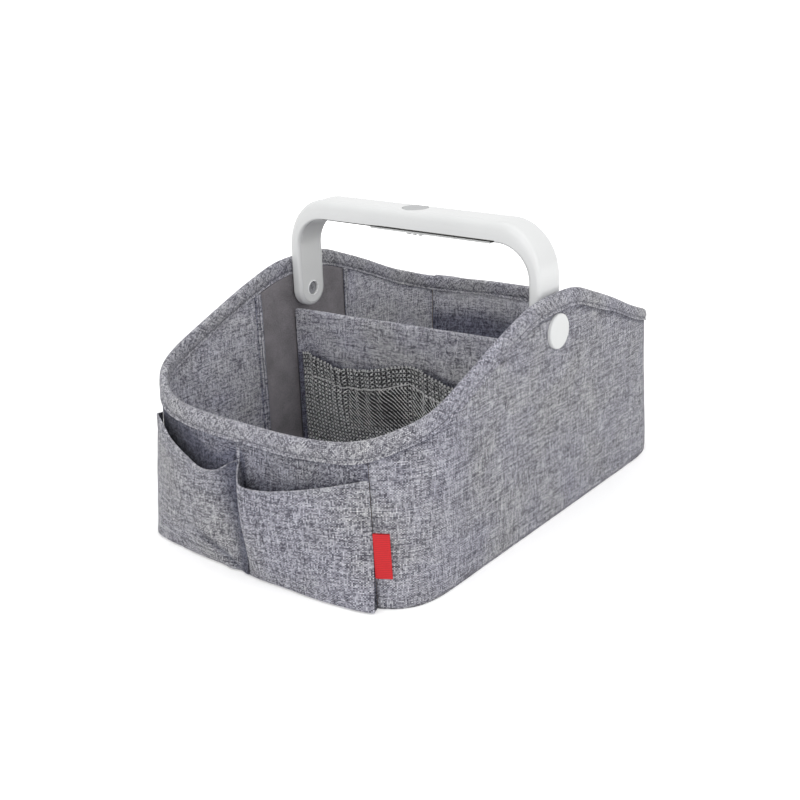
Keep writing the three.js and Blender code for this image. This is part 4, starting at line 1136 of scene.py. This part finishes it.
def make_net(name, spec, seed):
    """Knitted mesh: crossing strands, with painted glints where loops meet and painted sheen along some that
    the gathers draw out.
    """
    width = abs(spec["x"][1] - spec["x"][0])
    columns, rows = int(width * 1.1 / NET_CELL), int(NET_TALL / NET_CELL)
    rng = np.random.RandomState(seed + 7)
    a = np.linspace(0, rows, rows * 4 + 1)
    held, kept, glints, base = [], [], [], 0
    for shift, thick, wide, extra, share in NET_LAYERS:
        for k in range(-rows, columns + 1):
            for slope in (1, -1):
                column = k + shift + a if slope > 0 else k + shift + rows - a
                inside = (column >= 0) & (column <= columns)
                if inside.sum() < 4:
                    continue
                steps = a[inside]
                t, up = column[inside] / columns, steps / rows
                line = net_surface(spec, t, up, seed, extra + 0.12 * np.sin(math.pi * steps) * slope)
                points, faces = strand(line, thick, wide)
                # Painted glints at the loops, and painted sheen along the drawn strands.
                drawn = net_painted_sheen(spec, t, up, slope if name == "left" else -slope)
                knot = np.cos(math.pi * steps) ** 2 * (1 + np.minimum(drawn, 0))
                each = rng.uniform(0.3, 1.6, len(steps)) * (1.0 - 0.25 * (up > 0.8))
                glint = share * np.maximum(knot * each, drawn * rng.uniform(0.3, 1.5))
                held.append(points)
                glints.append(np.repeat(glint, 4))
                kept += [[base + i for i in f] for f in faces]
                base += len(points)
    net = new_object(f"net_{name}_mesh", np.concatenate(held), kept, sharp=75, flip=False)
    dress(shaded(net, *glints), NET, "divider", f"net_pocket_{name}", "net")


def make_net_edges(name, spec, seed):
    """The net's sewn top edge, its elastic cord and the tape along its foot."""
    def rope(piece, line, thick, wide, material, *marks):
        dress(new_object(piece, *strand(line, thick, wide), sharp=75), material, "divider", *marks)

    t, foot_t = np.linspace(0.012, 0.995, 260), np.linspace(0.01, 0.995, 120)
    top = net_surface(spec, t, np.ones_like(t), seed, 0.1)
    cord = net_surface(spec, t, cord_share(spec, t), seed, 0.45)
    out = np.broadcast_to((0.0, -1.0, 0.15), top.shape) @ SPIN.T
    rope(f"net_edge_{name}", top, 0.9, 1.0, NET)
    sew(f"net_edge_stitches_{name}", top + out * 0.35 + (0, 0, -0.2), out, (3.2, 2.4, 1.3, 0.6),
        "divider", ELASTIC, across=True)
    rope(f"net_elastic_cord_{name}", cord, 0.7, 1.1, ELASTIC, f"net_elastic_{name}", "net")
    sew(f"net_elastic_stitches_{name}", cord + out * 0.4, out, (2.2, 1.7, 0.6, 0.35), "divider", ELASTIC)
    rope(f"net_foot_{name}", net_surface(spec, foot_t, np.zeros_like(foot_t), seed, 0.1), 0.8, 3.4, NET)


for i, (net_name, net_spec) in enumerate(NETS.items()):
    make_net(net_name, net_spec, 101 + i)
    make_net_edges(net_name, net_spec, 101 + i)


# ---- handle
def circle(steps):
    return np.linspace(0, 2 * math.pi, steps, endpoint=False)


def arch_stations():
    """Points of the handle's inner line, with the way out there and how far it has grown from leg to bar."""
    centre_x, centre_z = HANDLE_INNER - BEND_RADIUS, BAR_UNDER - BEND_RADIUS
    half = [(HANDLE_INNER, PIVOT_Z + k * (centre_z - PIVOT_Z) / 4, 0.0, 0.0) for k in range(4)]
    for share in np.arange(BEND_STEPS + 1) / BEND_STEPS:
        a = math.pi / 2 * share
        x, z = centre_x + BEND_RADIUS * math.cos(a), centre_z + BEND_RADIUS * math.sin(a)
        half.append((x, z, a, smooth(share)))
    return half + [(-x, z, math.pi - a, b) for x, z, a, b in half][::-1]


def handle_section(thick, inset, inner_steps=5, outer_steps=14):
    """The handle's section, way across and way out; its outer corners are tighter on the legs."""
    share = (thick - LEG_THICK) / (BAR_THICK - LEG_THICK)
    outer_v = 2.6 + 6.6 * share - inset
    outer_u = 3.0 + 3.2 * share - inset
    small = max(3.0 - 1.6 * share - inset, GAP)
    half, top = HANDLE_HALF_DEPTH - inset, thick - inset
    flat_top = 1.0 - share / 3

    def corner(cu, cv, ru, rv, start, steps, full=1.0):
        turns = [start + math.pi / 2 * k / steps for k in range(steps + 1)]
        return [(cu + ru * math.copysign(abs(math.cos(a)) ** full, math.cos(a)), cv + rv * math.sin(a))
                for a in turns]

    return (corner(half - small, inset + small, small, small, -math.pi / 2, inner_steps)
            + corner(half - outer_u, top - outer_v, outer_u, outer_v, 0, outer_steps, flat_top)
            + corner(outer_u - half, top - outer_v, outer_u, outer_v, math.pi / 2, outer_steps, flat_top)
            + corner(small - half, inset + small, small, small, math.pi, inner_steps))


def arch(name, section_at, rounded):
    """A solid along the handle's arch, with or without round ends about the pivots."""
    rings = []
    for x, z, angle, share in arch_stations():
        section = section_at(LEG_THICK + (BAR_THICK - LEG_THICK) * share)
        rings.append([(x + v * math.cos(angle), u, z + v * math.sin(angle)) for u, v in section])
    body = loft(name, rings)
    section = [(u, v) for u, v in section_at(LEG_THICK) if u > 0]
    for side in (-1, 1) if rounded else ():
        profile = [(0.0, section[0][1]), *section, (0.0, section[-1][1])]
        cut(body, lathe_on_x(f"{name}_end", profile, side, HANDLE_INNER), "UNION")
    return body


def lathe_on_x(name, profile, side, x, steps=72):
    """A turned solid on the pivots' axis; a profile point is (radius, way out along X from x)."""
    points, rows = [], []
    for radius, way in profile:
        turns = [0.0] if radius < 1e-6 else circle(steps)
        rows.append(list(range(len(points), len(points) + len(turns))))
        points += [(side * (x + way), radius * math.cos(t), PIVOT_Z + radius * math.sin(t)) for t in turns]
    faces = []
    for low, high in zip(rows, rows[1:]):
        for i in range(steps):
            j = (i + 1) % steps
            quad = [low[i % len(low)], low[j % len(low)], high[j % len(high)], high[i % len(high)]]
            faces.append(list(dict.fromkeys(quad)))
    return new_object(name, points, [f for f in faces if len(f) > 2])


def rod_x(name, radius, *ends):
    low, high = sorted(ends)
    return lathe_on_x(name, [(0.0, low), (radius, low), (radius, high), (0.0, high)], 1, 0.0, 48)


def turned_on_z(name, profile, sharp=38):
    """A turned solid about the bar's middle; a profile point is (radius, height)."""
    turns = circle(96)
    rings = [np.column_stack([r * np.cos(turns), r * np.sin(turns), np.full(96, z)]) for r, z in profile]
    return loft(name, rings, sharp=sharp)


def block(name, low, high):
    ring = [(low[0], low[1]), (high[0], low[1]), (high[0], high[1]), (low[0], high[1])]
    return loft(name, [[(x, y, z) for x, y in ring] for z in (low[2], high[2])])


def wide_block(name, x, wide, low, high):
    """A block as deep as the handle."""
    return block(name, (x, -HANDLE_HALF_DEPTH, low), (x + wide, HANDLE_HALF_DEPTH, high))


SEAT_HALF, PAD_SEAT, RECESS, BORE = 10.92, 9.45, 5.0, 3.9
# The touch spot's rim and its almost flat top, as radius and depth below the bar's top.
PAD_PROFILE = ((9.25, 1.35), (9.25, 0.5), (9.15, 0.3), (8.9, 0.17), (8.4, 0.1), (6.0, 0.06), (0.4, 0.05))
# The line beside the bay, as x and its height above the bar's underside.
PARTING_LINE = ((-75.0, 0.75), (-34.0, 1.0), (-20.0, 1.5), (74.0, 1.5))


def make_hollow():
    """The handle's cavity, parted by ribs beside the lens and the contact plates and in the legs."""
    hollow = arch("hollow", lambda t: handle_section(t, 1.8, 3, 8), False)
    cut(hollow, wide_block("keep", -HANDLE_REACH, 2 * HANDLE_REACH, PIVOT_Z + 16, BAR_TOP), "INTERSECT")
    lens, left, right = (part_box(n) for n in ("light_lens", "contact_plate_left", "contact_plate_right"))
    off = GAP + 0.6
    for x, way in ((lens[0][0], -off), (lens[1][0], off), (left[0][0], -off), (right[1][0], off)):
        cut(hollow, wide_block("rib", x / MM + way - 0.6, 1.2, BAR_UNDER, BAR_TOP))
    for x in (-HANDLE_REACH, HANDLE_INNER):
        cut(hollow, wide_block("rib", x, LEG_THICK, PIVOT_Z + 25, PIVOT_Z + 26.2))
    return hollow


def make_handle():
    shell = arch("handle_body", lambda t: handle_section(t, 0.0), True)
    cut(shell, make_hollow())
    seat = [(SEAT_HALF, -1.0), (SEAT_HALF, 1.9), (-SEAT_HALF, 1.9), (-SEAT_HALF, -1.0)]
    cut(shell, arch("seat", lambda t: seat, True))
    # A raised lip round each recess, in the lighter plastic that paints a highlight there.
    lip = [(RECESS + 0.5 - 0.5 * math.cos(a), -0.42 * math.sin(a)) for a in np.linspace(0, math.pi, 9)[1:-1]]
    lip = [(RECESS, 0.0), *lip, (6.0, 0.0), (6.0, 0.5), (RECESS, 0.5), (RECESS, 0.0)]
    for side in (-1, 1):
        cut(shell, rod_x("recess", RECESS, side * (HANDLE_INNER - 1), side * (HANDLE_INNER + 3.6)))
        cut(shell, rod_x("bore", BORE, side * HANDLE_INNER, side * (HANDLE_REACH + 1)))
        dress(lathe_on_x(f"recess_lip_{side}", lip, side, HANDLE_INNER), PAINTED_HIGHLIGHT_LIP, "handle")
    cut(shell, turned_on_z("pad_seat", [(PAD_SEAT, BAR_TOP - 1.45), (PAD_SEAT, BAR_TOP + 1)]))
    dress(shell, PLASTIC)
    for side in (-1, 1):
        low, high = sorted((side * 12.1, side * 14.5))
        slot = loft("parting_line", [
            [(x, y, BAR_UNDER + z) for y, z in ((low, 0.3), (high, 0.3), (high, top), (low, top))]
            for x, top in PARTING_LINE
        ])
        # The slot's faces take the near-black material: a painted shadow along the parting line.
        slot.data.materials.append(PAINTED_SHADOW_GAP)
        cut(shell, slot)
    finished_edges(shell, 0.25, 40)
    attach(shell, "handle")
    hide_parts("handle_shell")
    pad = turned_on_z("touch_pad_disc", [(radius, BAR_TOP - down) for radius, down in PAD_PROFILE], 50)
    dress(pad, PAD, "handle", "touch_pad", "pad")


make_handle()

# ---- pivots and other hard pieces
CAP_RADIUS, CAP_THICK, STEM, STEM_BORE, STEM_END = 12.0, 3.0, 3.6, 1.8, -10.7

for side_name, side in (("left", -1), ("right", 1)):
    crown = [(CAP_RADIUS * s, GAP + CAP_THICK - 0.55 * s**4) for s in np.linspace(0, 0.9, 12)]
    edge = [(10.8 + 1.2 * math.sin(a), GAP + 1.4 + 1.24 * math.cos(a))
            for a in np.linspace(0.2, math.pi / 2, 7)]
    back = [(CAP_RADIUS, GAP), (STEM, GAP), (STEM, STEM_END), (STEM_BORE, STEM_END), (STEM_BORE, GAP),
            (0.0, GAP)]
    cap = lathe_on_x(f"pivot_cap_{side_name}_disc", crown + edge + back, side, HALF_WIDTH, 96)
    dress(cap, PLASTIC, "body", f"pivot_cap_{side_name}", "plastic")

DOOR_HALF = 10.5
door_extras = [block("door_flange", (-32.6, -DOOR_HALF, BAR_UNDER - 1.75), (68.6, DOOR_HALF, BAR_UNDER - 0.15))]
for x in (0.0, 5.0, 10.0):
    low, high = (x - 0.1, -DOOR_HALF, BAR_UNDER - 2.9), (x + 1.7, -2.5, BAR_UNDER - 1.0)
    door_extras.append(block("door_rib", low, high))
for node_name, piece_name, width, material, slot_name, added in (
    ("handle_cover", "cover_panel", 0.12, COVER, "plastic", ()),
    ("battery_door", "battery_door_panel", 0.35, COVER, "plastic", door_extras),
    ("light_lens", "light_lens_panel", 0.3, LENS, "lens", ()),
    ("pivot_screw_left", "pivot_screw_left_head", 0.15, SCREW, "plastic", ()),
    ("pivot_screw_right", "pivot_screw_right_head", 0.15, SCREW, "plastic", ()),
):
    dress(refined(node_name, piece_name, width, added), material, slot=slot_name)

KEPT = {
    "board": BOARD, "hook": HOOK, "circuit": CIRCUIT, "emitter": EMITTER, "cell": CELL, "steel": STEEL,
    "plastic": PLASTIC, "melange": MELANGE, "lining": MELANGE_LINING, "loop": LOOP, "net": NET,
    "elastic": ELASTIC, "tab": TAB, "pad": PAD, "lens": LENS,
}
for node in frame["nodes"].values():
    for socket in node.material_slots:
        if socket.material and socket.material.name in KEPT:
            socket.material = KEPT[socket.material.name]
